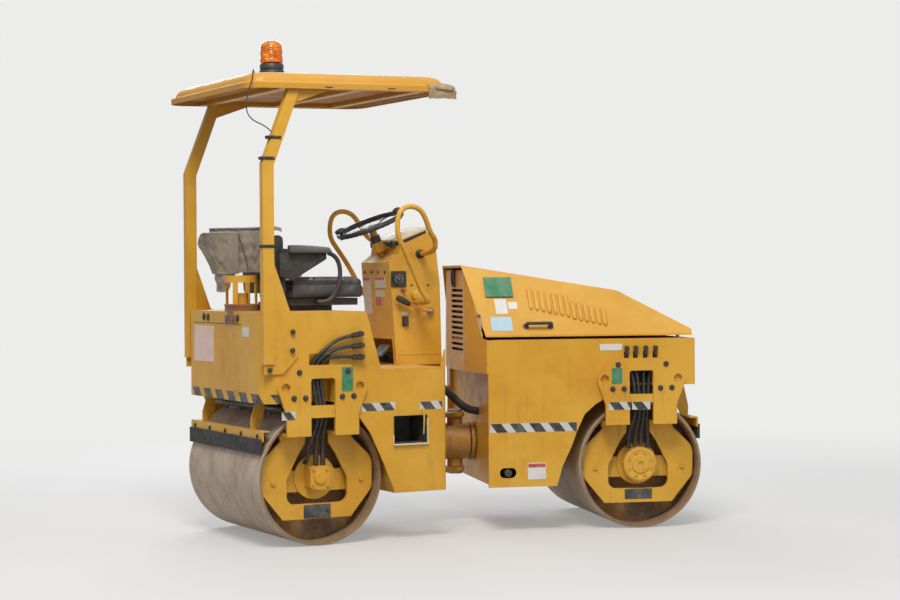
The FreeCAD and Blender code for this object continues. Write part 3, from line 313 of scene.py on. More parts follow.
def worn_paint(name, base=YELLOW, faded=YELLOW_FADED, deep=YELLOW_DEEP, chips=0.5, dust=0.35,
               grime=0.55):
    """Sun-faded machine paint with streaks, settled dust, grime low down and chipped edges."""
    r = Recipe(name)
    colour = r.patches(base, faded, (1.7, 4.0, 0.6), 0.40, 0.62)
    colour = r.patches(colour, deep, (5.5, 5.0, 0.65), 0.52, 0.74, 0.45)

    streaks = r.noise(1.0, 6.0, 0.7, r.mapped(scale=(26, 26, 2.2)))
    low = r.band(r.axis(r.place, "Z"), GRIME_FROM, GRIME_FULL, 0.25, 1.0)
    run = r.times(r.band(streaks, 0.56, 0.80), r.times(low, grime))
    colour = r.mix(run, colour, GRIME)
    mottled = r.band(r.noise(38.0, 8.0, 0.72), 0.60, 0.72)
    colour = r.mix(r.times(mottled, r.times(low, 0.5 * grime)), colour, GRIME)

    settled = r.times(r.facing_up(0.35, 0.95),
                      r.band(r.noise(9.0, 6.0, 0.7), 0.35, 0.70, 0.35, 1.0))
    colour = r.mix(r.times(settled, dust), colour, DUST)

    worn_edge = r.times(r.edges(0.006), r.band(r.noise(70.0, 6.0, 0.7), 0.47, 0.56))
    flakes = r.times(r.band(r.noise(120.0, 7.0, 0.75), 0.665, 0.70),
                     r.band(r.noise(4.0, 3.0), 0.45, 0.62))
    chipped = r.times(r.math("MAXIMUM", worn_edge, flakes), chips)
    colour = r.mix(chipped, colour, PRIMER_BROWN)

    gloss = r.math("ADD", r.uneven((14.0, 5.0, 0.6), 0.36, 0.58), r.times(settled, 0.3))
    r.bump(r.math("SUBTRACT", r.times(r.noise(240.0, 3.0), 0.25), chipped), 0.35, 0.0006)
    return r.finish(colour, gloss)


def drum_steel(name, centre, turn):
    """Drum: rolled face dull with road dust, painted heads worn to rusty brown."""
    r = Recipe(name)
    local = r.mapped(place=(-centre.x, -centre.y, -centre.z))
    local = r.mapped(turn=(0, 0, -turn), source=local)
    x, z = r.axis(local, "X"), r.axis(local, "Z")
    radius = r.math("SQRT", r.math("ADD", r.times(x, x), r.times(z, z)))
    rolled = r.band(radius, DRUM_R - 0.0065, DRUM_R - 0.0035)

    scratch = r.noise(1.0, 5.0, 0.7, r.mapped(scale=(3, 160, 3), source=local))
    blotches = r.noise(7.0, 6.0, 0.68, local)
    face = r.mix(r.band(blotches, 0.36, 0.66), (0.46, 0.35, 0.245), (0.62, 0.51, 0.39))
    face = r.mix(r.band(scratch, 0.44, 0.72, 0.0, 0.65), face, (0.21, 0.160, 0.115))
    face = r.patches(face, (0.50, 0.45, 0.38), (3.0, 4.0, 0.6, local), 0.52, 0.72, 0.5)

    head = r.patches((0.42, 0.20, 0.035), (0.175, 0.105, 0.058), (6.0, 6.0, 0.7, local),
                     0.38, 0.60)
    head = r.patches(head, (0.31, 0.245, 0.175), (26.0, 7.0, 0.7, local), 0.50, 0.66, 0.8)
    near_rim = r.band(radius, 0.30, 0.345)
    head = r.mix(r.times(near_rim, 0.55), head, (0.26, 0.20, 0.145))
    colour = r.mix(rolled, head, face)
    grain = r.math("ADD", r.times(scratch, 0.6), r.noise(130.0, 5.0, 0.7, local))
    r.bump(grain, 0.35, 0.0015)
    shine = r.times(rolled, r.band(blotches, 0.35, 0.7, 0.55, 0.15))
    return r.finish(colour, r.uneven((20.0, 5.0), 0.55, 0.85), shine)


def dull_black(name, tone=0.022, dust=0.5, rough=0.6):
    """Black paint, rubber or plastic with dust settled on it."""
    r = Recipe(name)
    colour = r.mix(r.noise(9.0, 5.0, 0.65), (tone, tone, tone),
                   (tone * 2.2, tone * 2.1, tone * 2.0))
    lie = r.times(r.facing_up(0.0, 0.9, 0.25), r.band(r.noise(17.0, 7.0, 0.72), 0.42, 0.72))
    colour = r.mix(r.times(lie, dust), colour, DUST)
    r.bump(r.noise(210.0, 4.0, 0.6), 0.25, 0.0006)
    return r.finish(colour, r.uneven((30.0, 4.0), rough - 0.12, rough + 0.15))


def bare_steel(name, tone=(0.38, 0.36, 0.33), rust=0.4):
    r = Recipe(name)
    colour = r.mix(r.noise(14.0, 6.0, 0.7), tone, tuple(0.62 * c for c in tone))
    colour = r.patches(colour, (0.20, 0.085, 0.035), (30.0, 7.0, 0.72), 0.52, 0.66, rust)
    r.bump(r.noise(160.0, 5.0, 0.65), 0.3, 0.0006)
    return r.finish(colour, r.uneven((22.0, 5.0), 0.32, 0.62), 0.75)


def polished_rod(name):
    r = Recipe(name)
    colour = r.mix(r.noise(35.0, 4.0), (0.72, 0.72, 0.71), (0.50, 0.49, 0.47))
    r.bump(r.noise(300.0, 3.0), 0.1, 0.0003)
    return r.finish(colour, r.band(r.noise(40.0, 4.0), 0.35, 0.65, 0.10, 0.26), 1.0)


def seat_vinyl(name, tone=(0.028, 0.028, 0.030), worn=(0.060, 0.056, 0.052)):
    """Grained vinyl, greyed with dust in the grain."""
    r = Recipe(name)
    colour = r.mix(r.noise(6.0, 5.0, 0.65), tone, worn)
    grain = r.add("TexVoronoi", r.place, Scale=520.0).outputs["Distance"]
    lie = r.times(r.facing_up(0.2, 0.95), r.band(r.noise(11.0, 6.0, 0.7), 0.35, 0.75))
    colour = r.mix(r.times(lie, 0.55), colour, (0.30, 0.265, 0.22))
    r.bump(r.math("ADD", grain, r.times(r.noise(45.0, 4.0), 0.8)), 0.4, 0.0009)
    return r.finish(colour, r.band(grain, 0.0, 0.8, 0.42, 0.60))


def woven_cloth(name, light=(0.44, 0.365, 0.27), dark=(0.25, 0.205, 0.15)):
    """Coarse faded cloth with a plain weave."""
    r = Recipe(name)
    colour = r.patches(light, dark, (5.0, 6.0, 0.7), 0.36, 0.66)
    colour = r.patches(colour, (0.36, 0.30, 0.24), (24.0, 6.0, 0.7), 0.50, 0.72, 0.55)
    warp, weft = (r.wave(0.5, 0.6, vector=r.mapped(scale=scale))
                  for scale in ((900, 60, 60), (60, 60, 900)))
    weave = r.times(warp, weft)
    colour = r.mix(r.times(weave, 0.25), colour, tuple(0.6 * c for c in dark))
    r.bump(weave, 0.35, 0.0006)
    r.shader.inputs["Sheen Weight"].default_value = 0.15
    return r.finish(colour, 0.88)


def moulded_plastic(name, base, faded, gloss=0.5):
    """Moulded roof plastic, faded and dusty on top, with specks of dirt."""
    r = Recipe(name)
    r.shader.inputs["Specular IOR Level"].default_value = gloss
    colour = r.patches(base, faded, (2.2, 5.0, 0.65), 0.36, 0.66)
    lie = r.times(r.facing_up(0.3, 0.9), r.band(r.noise(8.0, 7.0, 0.72), 0.36, 0.70))
    colour = r.mix(r.times(lie, 0.3), colour, DUST)
    colour = r.patches(colour, (0.26, 0.14, 0.035), (60.0, 8.0, 0.75), 0.60, 0.70, 0.5)
    r.bump(r.noise(180.0, 4.0), 0.2, 0.0006)
    return r.finish(colour, r.uneven((12.0, 5.0), 0.38, 0.58))


def amber_lens(name):
    """Ribbed lens, paler towards its top."""
    r = Recipe(name)
    height = r.axis(r.place, "Z")
    colour = r.mix(r.band(height, 2.55, 2.67), (0.90, 0.20, 0.015), (1.0, 0.34, 0.03))
    r.bump(r.wave(34.0, direction="Z"), 0.5, 0.0015)
    r.shader.inputs["Transmission Weight"].default_value = 0.55
    r.shader.inputs["IOR"].default_value = 1.46
    return r.finish(colour, r.uneven((20.0,), 0.10, 0.22))


def hose_rubber(name):
    """Black hose, rubbed grey and dusty, with its fine wound surface."""
    r = Recipe(name)
    colour = r.mix(r.noise(13.0, 5.0, 0.65), (0.016, 0.016, 0.017), (0.045, 0.043, 0.040))
    colour = r.patches(colour, (0.16, 0.13, 0.10), (34.0, 7.0, 0.72), 0.50, 0.70, 0.45)
    r.bump(r.wave(90.0, 0.4), 0.3, 0.0004)
    return r.finish(colour, r.uneven((25.0, 4.0), 0.38, 0.62))


def printed(name, tone):
    """Label or tape: its colour bleached in patches, scuffed and dusty, with lifted specks."""
    r = Recipe(name)
    pale = tuple(min(1.0, 0.78 * c + 0.13) for c in tone)
    colour = r.patches(tone, pale, (16.0, 5.0, 0.65), 0.42, 0.66, 0.7)
    scuffs = r.band(r.noise(90.0, 7.0, 0.74), 0.58, 0.68)
    colour = r.mix(r.times(scuffs, 0.45), colour, (0.30, 0.20, 0.09))
    colour = r.patches(colour, DUST, (7.0, 5.0, 0.7), 0.48, 0.72, 0.35)
    r.bump(r.noise(150.0, 3.0), 0.15, 0.0004)
    return r.finish(colour, r.uneven((40.0, 4.0), 0.35, 0.60))


def radiator_fins(name):
    """Fine upright fins, oily and dusty, with painted shade in the dark stripes between them."""
    r = Recipe(name)
    fins = r.wave(90.0, direction="Y")
    # The darker stripes of the fin wave are painted shade in the gaps between the fins
    colour = r.mix(fins, (0.012, 0.011, 0.010), (0.060, 0.052, 0.042))
    colour = r.patches(colour, (0.14, 0.105, 0.065), (9.0, 6.0, 0.7), 0.48, 0.72, 0.5)
    r.bump(fins, 0.6, 0.002)
    return r.finish(colour, r.uneven((18.0,), 0.5, 0.8), 0.2)


def oily_metal(name):
    r = Recipe(name)
    colour = r.mix(r.noise(12.0, 6.0, 0.7), (0.030, 0.028, 0.026), (0.11, 0.095, 0.075))
    colour = r.patches(colour, (0.16, 0.12, 0.08), (4.0, 4.0), 0.5, 0.7, 0.5)
    r.bump(r.noise(90.0, 5.0), 0.4, 0.001)
    return r.finish(colour, r.uneven((18.0,), 0.30, 0.65), 0.3)


def make_finishes():
    rear_drum, front_drum = (place @ Vector((x, 0, DRUM_R))
                             for x, place in ((REAR_AXLE_X, REAR_PLACE),
                                              (FRONT_AXLE_X, FRONT_PLACE)))
    return {
        "yellow": worn_paint("yellow_paint"),
        "fork_yellow": worn_paint("fork_paint", chips=0.75, grime=0.75, dust=0.4),
        "dark_yellow": worn_paint("joint_paint", (0.40, 0.19, 0.03), (0.50, 0.27, 0.06),
                                  (0.20, 0.10, 0.03), grime=0.9),
        "rust": worn_paint("rusty_bracket", (0.235, 0.095, 0.040), (0.33, 0.16, 0.07),
                           (0.12, 0.050, 0.025), chips=0.8, grime=0.9),
        "orange": worn_paint("lever_paint", (0.72, 0.22, 0.03), (0.80, 0.33, 0.07),
                             (0.45, 0.12, 0.02)),
        "console_cream": worn_paint("console_lid_paint", (0.72, 0.60, 0.36),
                                    (0.80, 0.70, 0.47), (0.55, 0.42, 0.22), chips=0.3),
        "roof": moulded_plastic("roof_plastic", (0.57, 0.265, 0.016), (0.63, 0.325, 0.032)),
        # The roof plastic again, for its downward faces: its darker colour is painted shade under
        # the roof; its low gloss is not painted
        "roof_under_shaded": moulded_plastic("roof_underside_shade_plastic", (0.44, 0.165, 0.014),
                                      (0.52, 0.22, 0.022), gloss=0.05),
        "black": dull_black("black_paint"),
        "rubber": dull_black("rubber_black", 0.018, 0.45, 0.75),
        "plastic": dull_black("black_plastic", 0.020, 0.22, 0.45),
        "grey": dull_black("grey_plastic", 0.16, 0.3, 0.5),
        # Near-black plate: real grime on the exhaust pipe and a dark joint on the rear lid's seam;
        # in the side pocket, behind the front hoses and on the pedal well's far wall it is painted
        # shade
        "grime_and_shade": dull_black("grime_and_shade_plate", 0.034, 0.6, 0.7),
        "steel": bare_steel("bare_steel"),
        "dark_steel": bare_steel("dark_bolts", (0.095, 0.085, 0.075), 0.5),
        "rod": polished_rod("polished_rod"),
        "vinyl": seat_vinyl("seat_vinyl"),
        "vinyl_grey": seat_vinyl("arm_pad_vinyl", (0.075, 0.074, 0.072),
                                 (0.14, 0.135, 0.125)),
        "cloth": woven_cloth("seat_cloth"),
        "rag": woven_cloth("rag_cloth", (0.46, 0.34, 0.20), (0.28, 0.17, 0.075)),
        "piping": woven_cloth("cover_piping", (0.46, 0.42, 0.36), (0.34, 0.30, 0.25)),
        "piping_dark": woven_cloth("cover_seam", (0.10, 0.085, 0.07), (0.06, 0.05, 0.045)),
        "strap": woven_cloth("yellow_strap", (0.66, 0.50, 0.05), (0.50, 0.34, 0.03)),
        "hose": hose_rubber("hose_rubber"),
        "radiator": radiator_fins("radiator_fins"),
        "label_white": printed("white_label", (0.72, 0.71, 0.67)),
        "label_cream": printed("cream_label", (0.66, 0.60, 0.47)),
        "label_blue": printed("blue_label", (0.42, 0.60, 0.72)),
        "label_red": printed("red_label", (0.52, 0.045, 0.035)),
        "sign_rose": printed("rose_sign", (0.88, 0.62, 0.51)),
        "plate_green": printed("green_plate", (0.018, 0.20, 0.080)),
        "plate_black": printed("black_plate", (0.030, 0.029, 0.028)),
        "tape_white": printed("white_tape", (0.62, 0.59, 0.52)),
        "tape_black": printed("black_tape", (0.022, 0.021, 0.020)),
        "amber": amber_lens("amber_lens"),
        "engine": oily_metal("oily_engine"),
        "rear_drum": drum_steel("rear_drum_steel", rear_drum, 0.0),
        "front_drum": drum_steel("front_drum_steel", front_drum, REST_STEER),
    }


# Nodes of the frame by the finish that they wear
NODE_FINISHES = {
    "yellow": ("rear_body", "step_plate", "rear_scraper", "canopy_posts", "canopy_frame",
               "filler_guard", "console", "steering_column", "handrails", "front_side_near",
               "front_side_far", "front_pan", "front_rim", "front_scraper", "radiator_cowl",
               "hood"),
    "fork_yellow": ("rear_fork_near", "rear_fork_far", "rear_hubs", "front_fork_near",
                    "front_fork_far", "front_hubs", "rear_hose_clamp", "front_hose_clamp"),
    "dark_yellow": ("pivot_bracket", "centre_link", "pivot_flange"),
    "rubber": ("rear_scraper_blade", "front_scraper_blade", "beacon_cable"),
    "plastic": ("rear_spray_bar", "front_spray_bar", "dash", "steering_wheel", "drive_lever"),
    "black": ("seat_base", "arm_rest_frames", "pedal", "steering_barrel", "hood_handles"),
    "vinyl": ("seat_cushion", "seat_back", "arm_rests"),
    "hose": ("rear_hoses", "front_hoses"),
    "dark_steel": ("rear_hose_fittings", "front_hose_fittings"),
    "cloth": ("seat_cover",), "rag": ("corner_rag",), "roof": ("canopy_roof",),
    "grey": ("beacon_base",), "amber": ("beacon_lens",), "steel": ("pivot_pins",),
    "rod": ("steering_rod",), "engine": ("engine_block",), "grime_and_shade": ("exhaust_pipe",),
    "rear_drum": ("rear_drum",), "front_drum": ("front_drum",),
}


def dress_nodes():
    for finish, names in NODE_FINISHES.items():
        for name in names:
            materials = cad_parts[name].data.materials
            materials.clear()
            materials.append(finishes[finish])


# Modelling helpers

def only(piece):
    """Leaves nothing selected but one piece, and makes it the active one."""
    bpy.ops.object.select_all(action="DESELECT")
    bpy.context.view_layer.objects.active = piece
    piece.select_set(True)


def edit(piece, kind="FACE", test=None):
    """Goes into edit mode with the faces or edges selected that pass the test, or all of them."""
    only(piece)
    mesh = piece.data
    parts = {"VERT": mesh.vertices, "EDGE": mesh.edges, "FACE": mesh.polygons}
    bpy.context.tool_settings.mesh_select_mode = [kind == other for other in parts]
    for each in parts.values():
        each.foreach_set("select", [test is None] * len(each))
    if test is not None:
        for part in parts[kind]:
            part.select = bool(test(part))
    bpy.ops.object.mode_set(mode="EDIT")


def leave_edit():
    bpy.ops.object.mode_set(mode="OBJECT")
    return bpy.context.object


def settle(piece, name):
    """Names a piece and puts its place, turn and size into its mesh."""
    only(piece)
    piece.name = name
    bpy.ops.object.transform_apply(location=True, rotation=True, scale=True)
    return piece


def block(name, low, high, rounding=0.0, segments=2):
    """Box between two corners, its edges rounded with a bevel."""
    low, high = Vector(low), Vector(high)
    bpy.ops.mesh.primitive_cube_add(size=1, location=(low + high) / 2)
    piece = bpy.context.object
    piece.scale = high - low
    settle(piece, name)
    if rounding:
        edit(piece)
        bpy.ops.mesh.bevel(offset=rounding, segments=segments, affect="EDGES")
        leave_edit()
    return piece


def lathed(name, profile, sides=32):
    """Round piece about Z: a disc drawn up through (height, radius) rings."""
    height, radius = profile[0]
    bpy.ops.object.select_all(action="DESELECT")
    bpy.ops.mesh.primitive_circle_add(vertices=sides, radius=radius, fill_type="NGON",
                                      location=(0, 0, height))
    piece = settle(bpy.context.object, name)
    edit(piece)
    for next_height, next_radius in profile[1:]:
        rise = next_height - height
        bpy.ops.mesh.extrude_region_move(TRANSFORM_OT_translate={"value": (0, 0, rise)})
        grow = next_radius / radius
        bpy.ops.transform.resize(value=(grow, grow, 1), center_override=(0, 0, next_height))
        height, radius = next_height, next_radius
    bpy.ops.mesh.select_all(action="SELECT")
    bpy.ops.mesh.normals_make_consistent(inside=False)
    return leave_edit()


def curve_along(name, course, resolution):
    """Smooth curve that the points of a course draw along."""
    curve = bpy.data.curves.new(name, "CURVE")
    curve.dimensions = "3D"
    spline = curve.splines.new("NURBS")
    spline.points.add(len(course) - 1)
    for point, at in zip(spline.points, course):
        point.co = (*at, 1)
    spline.order_u = 3
    spline.use_endpoint_u = True
    spline.resolution_u = resolution
    return bpy.data.objects.new(name, curve)


def pipe(name, points, radius, bend=None, fineness=3):
    """Smooth round tube along points; with a bend, its runs stay straight up to each corner."""
    points = [Vector(p) for p in points]
    course = list(points)
    if bend:
        course = [points[0]]
        for before, here, after in zip(points, points[1:], points[2:]):
            back, on = before - here, after - here
            course.append(here + back.normalized() * min(bend, 0.45 * back.length))
            course.append(here)
            course.append(here + on.normalized() * min(bend, 0.45 * on.length))
        course.append(points[-1])
    piece = curve_along(name, course, 4)
    piece.data.bevel_depth = radius
    piece.data.bevel_resolution = fineness
    piece.data.use_fill_caps = True
    bpy.context.scene.collection.objects.link(piece)
    only(piece)
    bpy.ops.object.convert(target="MESH")
    return bpy.context.object


def moved(piece, matrix):
    """Puts a turn or shift into a piece's mesh."""
    piece.data.transform(matrix)
    piece.data.update()
    return piece


def copied(piece, matrix):
    """Copy of a piece with its own mesh, moved by the matrix."""
    twin = piece.copy()
    twin.data = piece.data.copy()
    bpy.context.scene.collection.objects.link(twin)
    return moved(twin, matrix)


def joined(name, pieces):
    bpy.ops.object.select_all(action="DESELECT")
    for piece in pieces:
        piece.select_set(True)
    bpy.context.view_layer.objects.active = pieces[0]
    if len(pieces) > 1:
        bpy.ops.object.join()
    whole = bpy.context.view_layer.objects.active
    whole.name = name
    return whole


def facing(at, direction):
    """Place at a point with Z along a direction."""
    turn = Vector(direction).to_track_quat("Z", "Y").to_matrix().to_4x4()
    return Matrix.Translation(Vector(at)) @ turn


def apply_modifier(piece, kind, **settings):
    only(piece)
    modifier = piece.modifiers.new(kind.lower(), kind)
    for key, value in settings.items():
        setattr(modifier, key, value)
    bpy.ops.object.modifier_apply(modifier=modifier.name)
    return piece


def smooth(piece, degrees=35.0):
    only(piece)
    bpy.ops.object.shade_smooth_by_angle(angle=math.radians(degrees))


def give(piece, finish, body="rear_frame", stands_for=(), degrees=35.0):
    """Finishes a piece: its place, paint, shading and the body that it moves with."""
    moved(piece, REAR_PLACE if body in REAR_BODIES else FRONT_PLACE)
    piece.data.materials.clear()
    piece.data.materials.append(finishes[finish])
    if degrees:
        smooth(piece, degrees)
    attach(piece, body)
    if stands_for:
        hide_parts(*stands_for)
    return piece


def both(piece):
    """The piece and its mirror image across the machine's middle, with its faces put right."""
    twin = copied(piece, Matrix.Scale(-1, 4, (0, 1, 0)))
    edit(twin)
    bpy.ops.mesh.flip_normals()
    leave_edit()
    return joined(piece.name, [piece, twin])


def prism(name, outline, y0, y1, rounding=0.0):
    """Plate of an (x, z) outline, drawn up along Y, its edges rounded."""
    bpy.ops.object.select_all(action="DESELECT")
    bpy.ops.mesh.primitive_circle_add(vertices=len(outline), radius=1.0, fill_type="NGON")
    piece = settle(bpy.context.object, name)
    for vertex, (x, z) in zip(piece.data.vertices, outline):
        vertex.co = (x, y0, z)
    edit(piece)
    bpy.ops.mesh.extrude_region_move(TRANSFORM_OT_translate={"value": (0, y1 - y0, 0)})
    bpy.ops.mesh.select_all(action="SELECT")
    bpy.ops.mesh.normals_make_consistent(inside=False)
    if rounding:
        bpy.ops.mesh.bevel(offset=rounding, segments=2, affect="EDGES")
    return leave_edit()


def draped(name, across, down, place, thickness):
    """Thin cloth: a fine grid whose points a function places by their share across and down."""
    bpy.ops.object.select_all(action="DESELECT")
    bpy.ops.mesh.primitive_grid_add(x_subdivisions=across, y_subdivisions=down, size=1)
    piece = settle(bpy.context.object, name)
    for vertex in piece.data.vertices:
        vertex.co = place(vertex.co.x + 0.5, vertex.co.y + 0.5)
    piece.data.update()
    return apply_modifier(piece, "SOLIDIFY", thickness=thickness, offset=0.0)


def against(centre, out, up=(0, 0, 1)):
    """Place on a surface that faces out: X to the right, Z up and -Y outwards."""
    inward = -Vector(out).normalized()
    right = inward.cross(Vector(up)).normalized()
    turn = Matrix((right, inward, right.cross(inward))).transposed().to_4x4()
    return Matrix.Translation(Vector(centre)) @ turn


def plate(name, width, height, thick=0.0014, corner=0.002):
    """Thin label or plate with rounded corners, lying against y = 0."""
    piece = block(name, (-width / 2, -thick, -height / 2), (width / 2, 0.0006, height / 2))
    edit(piece, "EDGE", lambda e: all(abs(abs(piece.data.vertices[i].co.x) - width / 2) < 1e-6
                                      for i in e.vertices)
         and abs(piece.data.vertices[e.vertices[0]].co.y
                 - piece.data.vertices[e.vertices[1]].co.y) > thick / 2)
    bpy.ops.mesh.bevel(offset=corner, segments=3, affect="EDGES")
    return leave_edit()


def push_in(piece, way, margin, depth):
    """Insets the face that looks one way and presses it in; a depth under nought draws it out."""
    way = Vector(way)
    edit(piece, "FACE", lambda f: f.normal.dot(way) > 0.9)
    bpy.ops.mesh.inset(thickness=margin)
    bpy.ops.transform.translate(value=-depth * way)
    return leave_edit()


def bolt_head(size):
    """Hexagon head on its washer, standing up along Z."""
    washer = lathed("washer", [(0.0, size * 1.35), (size * 0.18, size * 1.35),
                               (size * 0.24, size * 1.25), (size * 0.24, size * 0.5)], 20)
    head = lathed("head", [(size * 0.22, size), (size * 0.78, size), (size * 0.88, size * 0.88),
                           (size * 0.90, size * 0.35)], 6)
    return joined("bolt", [washer, head])


def screw_head(size):
    """Round screw head with a hexagon socket, standing up along Z."""
    return lathed("screw", [(0.0, size), (size * 0.35, size), (size * 0.62, size * 0.80),
                            (size * 0.72, size * 0.55), (size * 0.42, size * 0.42)], 18)


def heads(size, out, spots, form=bolt_head):
    return [moved(form(size), facing(spot, out)) for spot in spots]


# Roof, beacon and the rag on the roof's corner

def make_roof():
    """Moulded roof: a rim, a hollow under it, and a crown raised in rounded steps."""
    low, high = (ROOF_REAR.x, -ROOF_HALF, 0.0), (ROOF_FRONT_X, ROOF_HALF, 0.028)
    roof = block("canopy_roof_shell", low, high)
    edit(roof, "EDGE", lambda e: abs(roof.data.vertices[e.vertices[0]].co.z
                                     - roof.data.vertices[e.vertices[1]].co.z) > 0.02)
    bpy.ops.mesh.bevel(offset=0.095, segments=9, affect="EDGES")
    leave_edit()
    middle = (ROOF_REAR.x + ROOF_FRONT_X) / 2
    length, width = ROOF_FRONT_X - ROOF_REAR.x, 2 * ROOF_HALF
    crown = ((0.005, 0.004), (0.010, 0.001), (0.005, 0.004), (0.004, 0.012), (0.007, 0.013),
             (0.012, 0.012), (0.024, 0.010), (0.035, 0.005), (0.060, 0.003), (0.100, 0.003))
    hollow = ((0.003, -0.001), (0.008, 0.001), (0.003, 0.005), (0.003, 0.017))
    for way, start, steps in ((1, 0.028, crown), (-1, 0.0, hollow)):
        edit(roof, "FACE", lambda f: f.normal.z * way > 0.9)
        z, inset = start, 0.0
        for inward, rise in steps:
            bpy.ops.mesh.extrude_region_move(TRANSFORM_OT_translate={"value": (0, 0, rise)})
            z += rise
            share = [(side - 2 * (inset + inward)) / (side - 2 * inset)
                     for side in (length, width)]
            bpy.ops.transform.resize(value=(*share, 1), center_override=(middle, 0, z))
            inset += inward
        leave_edit()
    give(moved(roof, ROOF_PLACE), "roof", stands_for=["canopy_roof"], degrees=28)
    # Faces that look down take the darker copy: painted shade on the roof's underside
    roof.data.materials.append(finishes["roof_under_shaded"])
    for face in roof.data.polygons:
        face.material_index = int(face.normal.z < -0.3)

    # Black blocks on the rim's near side stand for its slots: their black is painted shade inside
    # the openings
    slot_shades = [block("slot", (x - 0.022, -0.5905, 0.006), (x + 0.022, -0.588, 0.013), 0.001)
             for x in (-0.98, -0.62, -0.36)]
    give(moved(joined("roof_rim_slot_shades", slot_shades), ROOF_PLACE), "black")


def make_beacon():
    base = lathed("beacon_foot", [(0.083, 0.012), (0.083, 0.079), (0.086, 0.081), (0.094, 0.081),
                                  (0.099, 0.078), (0.104, 0.076), (0.140, 0.068), (0.148, 0.066),
                                  (0.150, 0.061), (0.156, 0.0605), (0.158, 0.065), (0.178, 0.0645),
                                  (0.183, 0.062), (0.187, 0.055), (0.189, 0.020)], 48)
    rings = [(0.190, 0.058), (0.191, 0.0628)]
    for k in range(11):
        z = 0.196 + k * 0.0075
        rings += [(z, 0.0632 - 0.0003 * k), (z + 0.0040, 0.0612 - 0.0003 * k)]
    rings += [(0.281, 0.0588), (0.289, 0.0560), (0.296, 0.0505), (0.302, 0.0420), (0.307, 0.0300),
              (0.3095, 0.0160), (0.310, 0.0050)]
    lens = lathed("beacon_dome", rings, 48)
    dish = lathed("beacon_mirror", [(0.0, 0.008), (0.004, 0.017), (0.012, 0.028), (0.024, 0.038),
                                    (0.040, 0.046), (0.042, 0.046), (0.026, 0.040),
                                    (0.012, 0.031), (0.002, 0.018), (-0.002, 0.008)], 32)
    moved(dish, Matrix.Translation(Vector((0.030, 0, 0.240)))
          @ Matrix.Rotation(math.radians(-90), 4, "Y"))
    bulb = lathed("beacon_bulb", [(0.192, 0.009), (0.216, 0.009), (0.220, 0.006), (0.226, 0.010),
                                  (0.236, 0.012), (0.246, 0.010), (0.251, 0.004)], 16)
    place = ROOF_PLACE @ Matrix.Translation(Vector((-1.045, 0, 0)))
    give(moved(base, place), "plastic", stands_for=["beacon_base"])
    give(moved(lens, place), "amber", stands_for=["beacon_lens"])
    for piece in (dish, bulb):
        give(moved(piece, place), "rod")


BEACON_CABLE = [
    (-1.131, -0.028, 2.462), (-1.170, -0.080, 2.462), (-1.212, -0.180, 2.459),
    (-1.268, -0.290, 2.458), (-1.318, -0.395, 2.457), (-1.350, -0.475, 2.454),
    (-1.372, -0.520, 2.440), (-1.386, -0.550, 2.415), (-1.402, -0.580, 2.390),
    (-1.418, -0.592, 2.360), (-1.428, -0.592, 2.320), (-1.436, -0.588, 2.280),
    (-1.436, -0.584, 2.240), (-1.420, -0.577, 2.206), (-1.386, -0.570, 2.182),
    (-1.344, -0.562, 2.168), (-1.312, -0.555, 2.154), (-1.286, -0.550, 2.134)]


def make_beacon_cable():
    cable = pipe("beacon_lead", BEACON_CABLE, 0.003)
    give(cable, "rubber", stands_for=["beacon_cable"])


def make_corner_rag():
    """Old rag wrapped over the roof's near front corner and tied there."""
    width, length = 0.205, 0.235
    edge_x, edge_y = ROOF_FRONT_X - 0.004, -ROOF_HALF + 0.006

    def lie(u, v):
        x = edge_x - 0.150 + u * width
        y = edge_y + 0.145 - v * length
        over_x, over_y = max(0.0, x - edge_x), max(0.0, edge_y - y)
        fall = math.hypot(over_x, over_y)
        inside = min(edge_x - min(x, edge_x), max(y, edge_y) - edge_y)
        top = 0.034 + 0.020 * min(1.0, max(0.0, inside) / 0.05)
        place = Vector((min(x, edge_x + 0.010), max(y, edge_y - 0.010), top - 0.78 * fall))
        folds = noise.noise(Vector((x * 34, y * 26, 1.7))) + 0.5 * noise.noise(
            Vector((x * 80, y * 70, 4.1)))
        return place + Vector((0.006 * folds if over_x else 0.0, -0.005 * folds if over_y else 0.0,
                               0.005 * folds))

    rag = draped("corner_rag_cloth", 56, 56, lie, 0.0018)
    give(moved(rag, ROOF_PLACE), "rag", stands_for=["corner_rag"], degrees=60)
    tie = pipe("corner_rag_tie", [(-0.252, -0.470, 0.030), (-0.238, -0.500, 0.022),
                                  (-0.236, -0.545, 0.016), (-0.242, -0.580, 0.012),
                                  (-0.262, -0.600, 0.010), (-0.300, -0.602, 0.012),
                                  (-0.360, -0.598, 0.018)], 0.0035)
    give(moved(tie, ROOF_PLACE), "rag")


# Seat

def swelled(piece, voxel, cap, flat_below=None):
    """Padded form: the shape remeshed and blown up as cloth, no point further than the cap."""
    apply_modifier(piece, "REMESH", mode="VOXEL", voxel_size=voxel)
    start = [vertex.co.copy() for vertex in piece.data.vertices]
    only(piece)
    cloth = piece.modifiers.new("cloth", "CLOTH")
    cloth.settings.use_pressure = True
    cloth.settings.uniform_pressure_force = 4.0
    cloth.settings.effector_weights.gravity = 0.0
    if flat_below is not None:
        held = piece.vertex_groups.new(name="held")
        held.add([i for i, co in enumerate(start) if co.z < flat_below], 1.0, "REPLACE")
        cloth.settings.vertex_group_mass = "held"
    for step in range(1, 21):
        bpy.context.scene.frame_set(step)
    bpy.ops.object.modifier_apply(modifier=cloth.name)
    bpy.context.scene.frame_set(1)
    for vertex, before in zip(piece.data.vertices, start):
        shift = vertex.co - before
        if shift.length > cap:
            vertex.co = before + shift * (cap / shift.length)
    piece.vertex_groups.clear()
    apply_modifier(piece, "SUBSURF", levels=1, render_levels=1)
    return piece


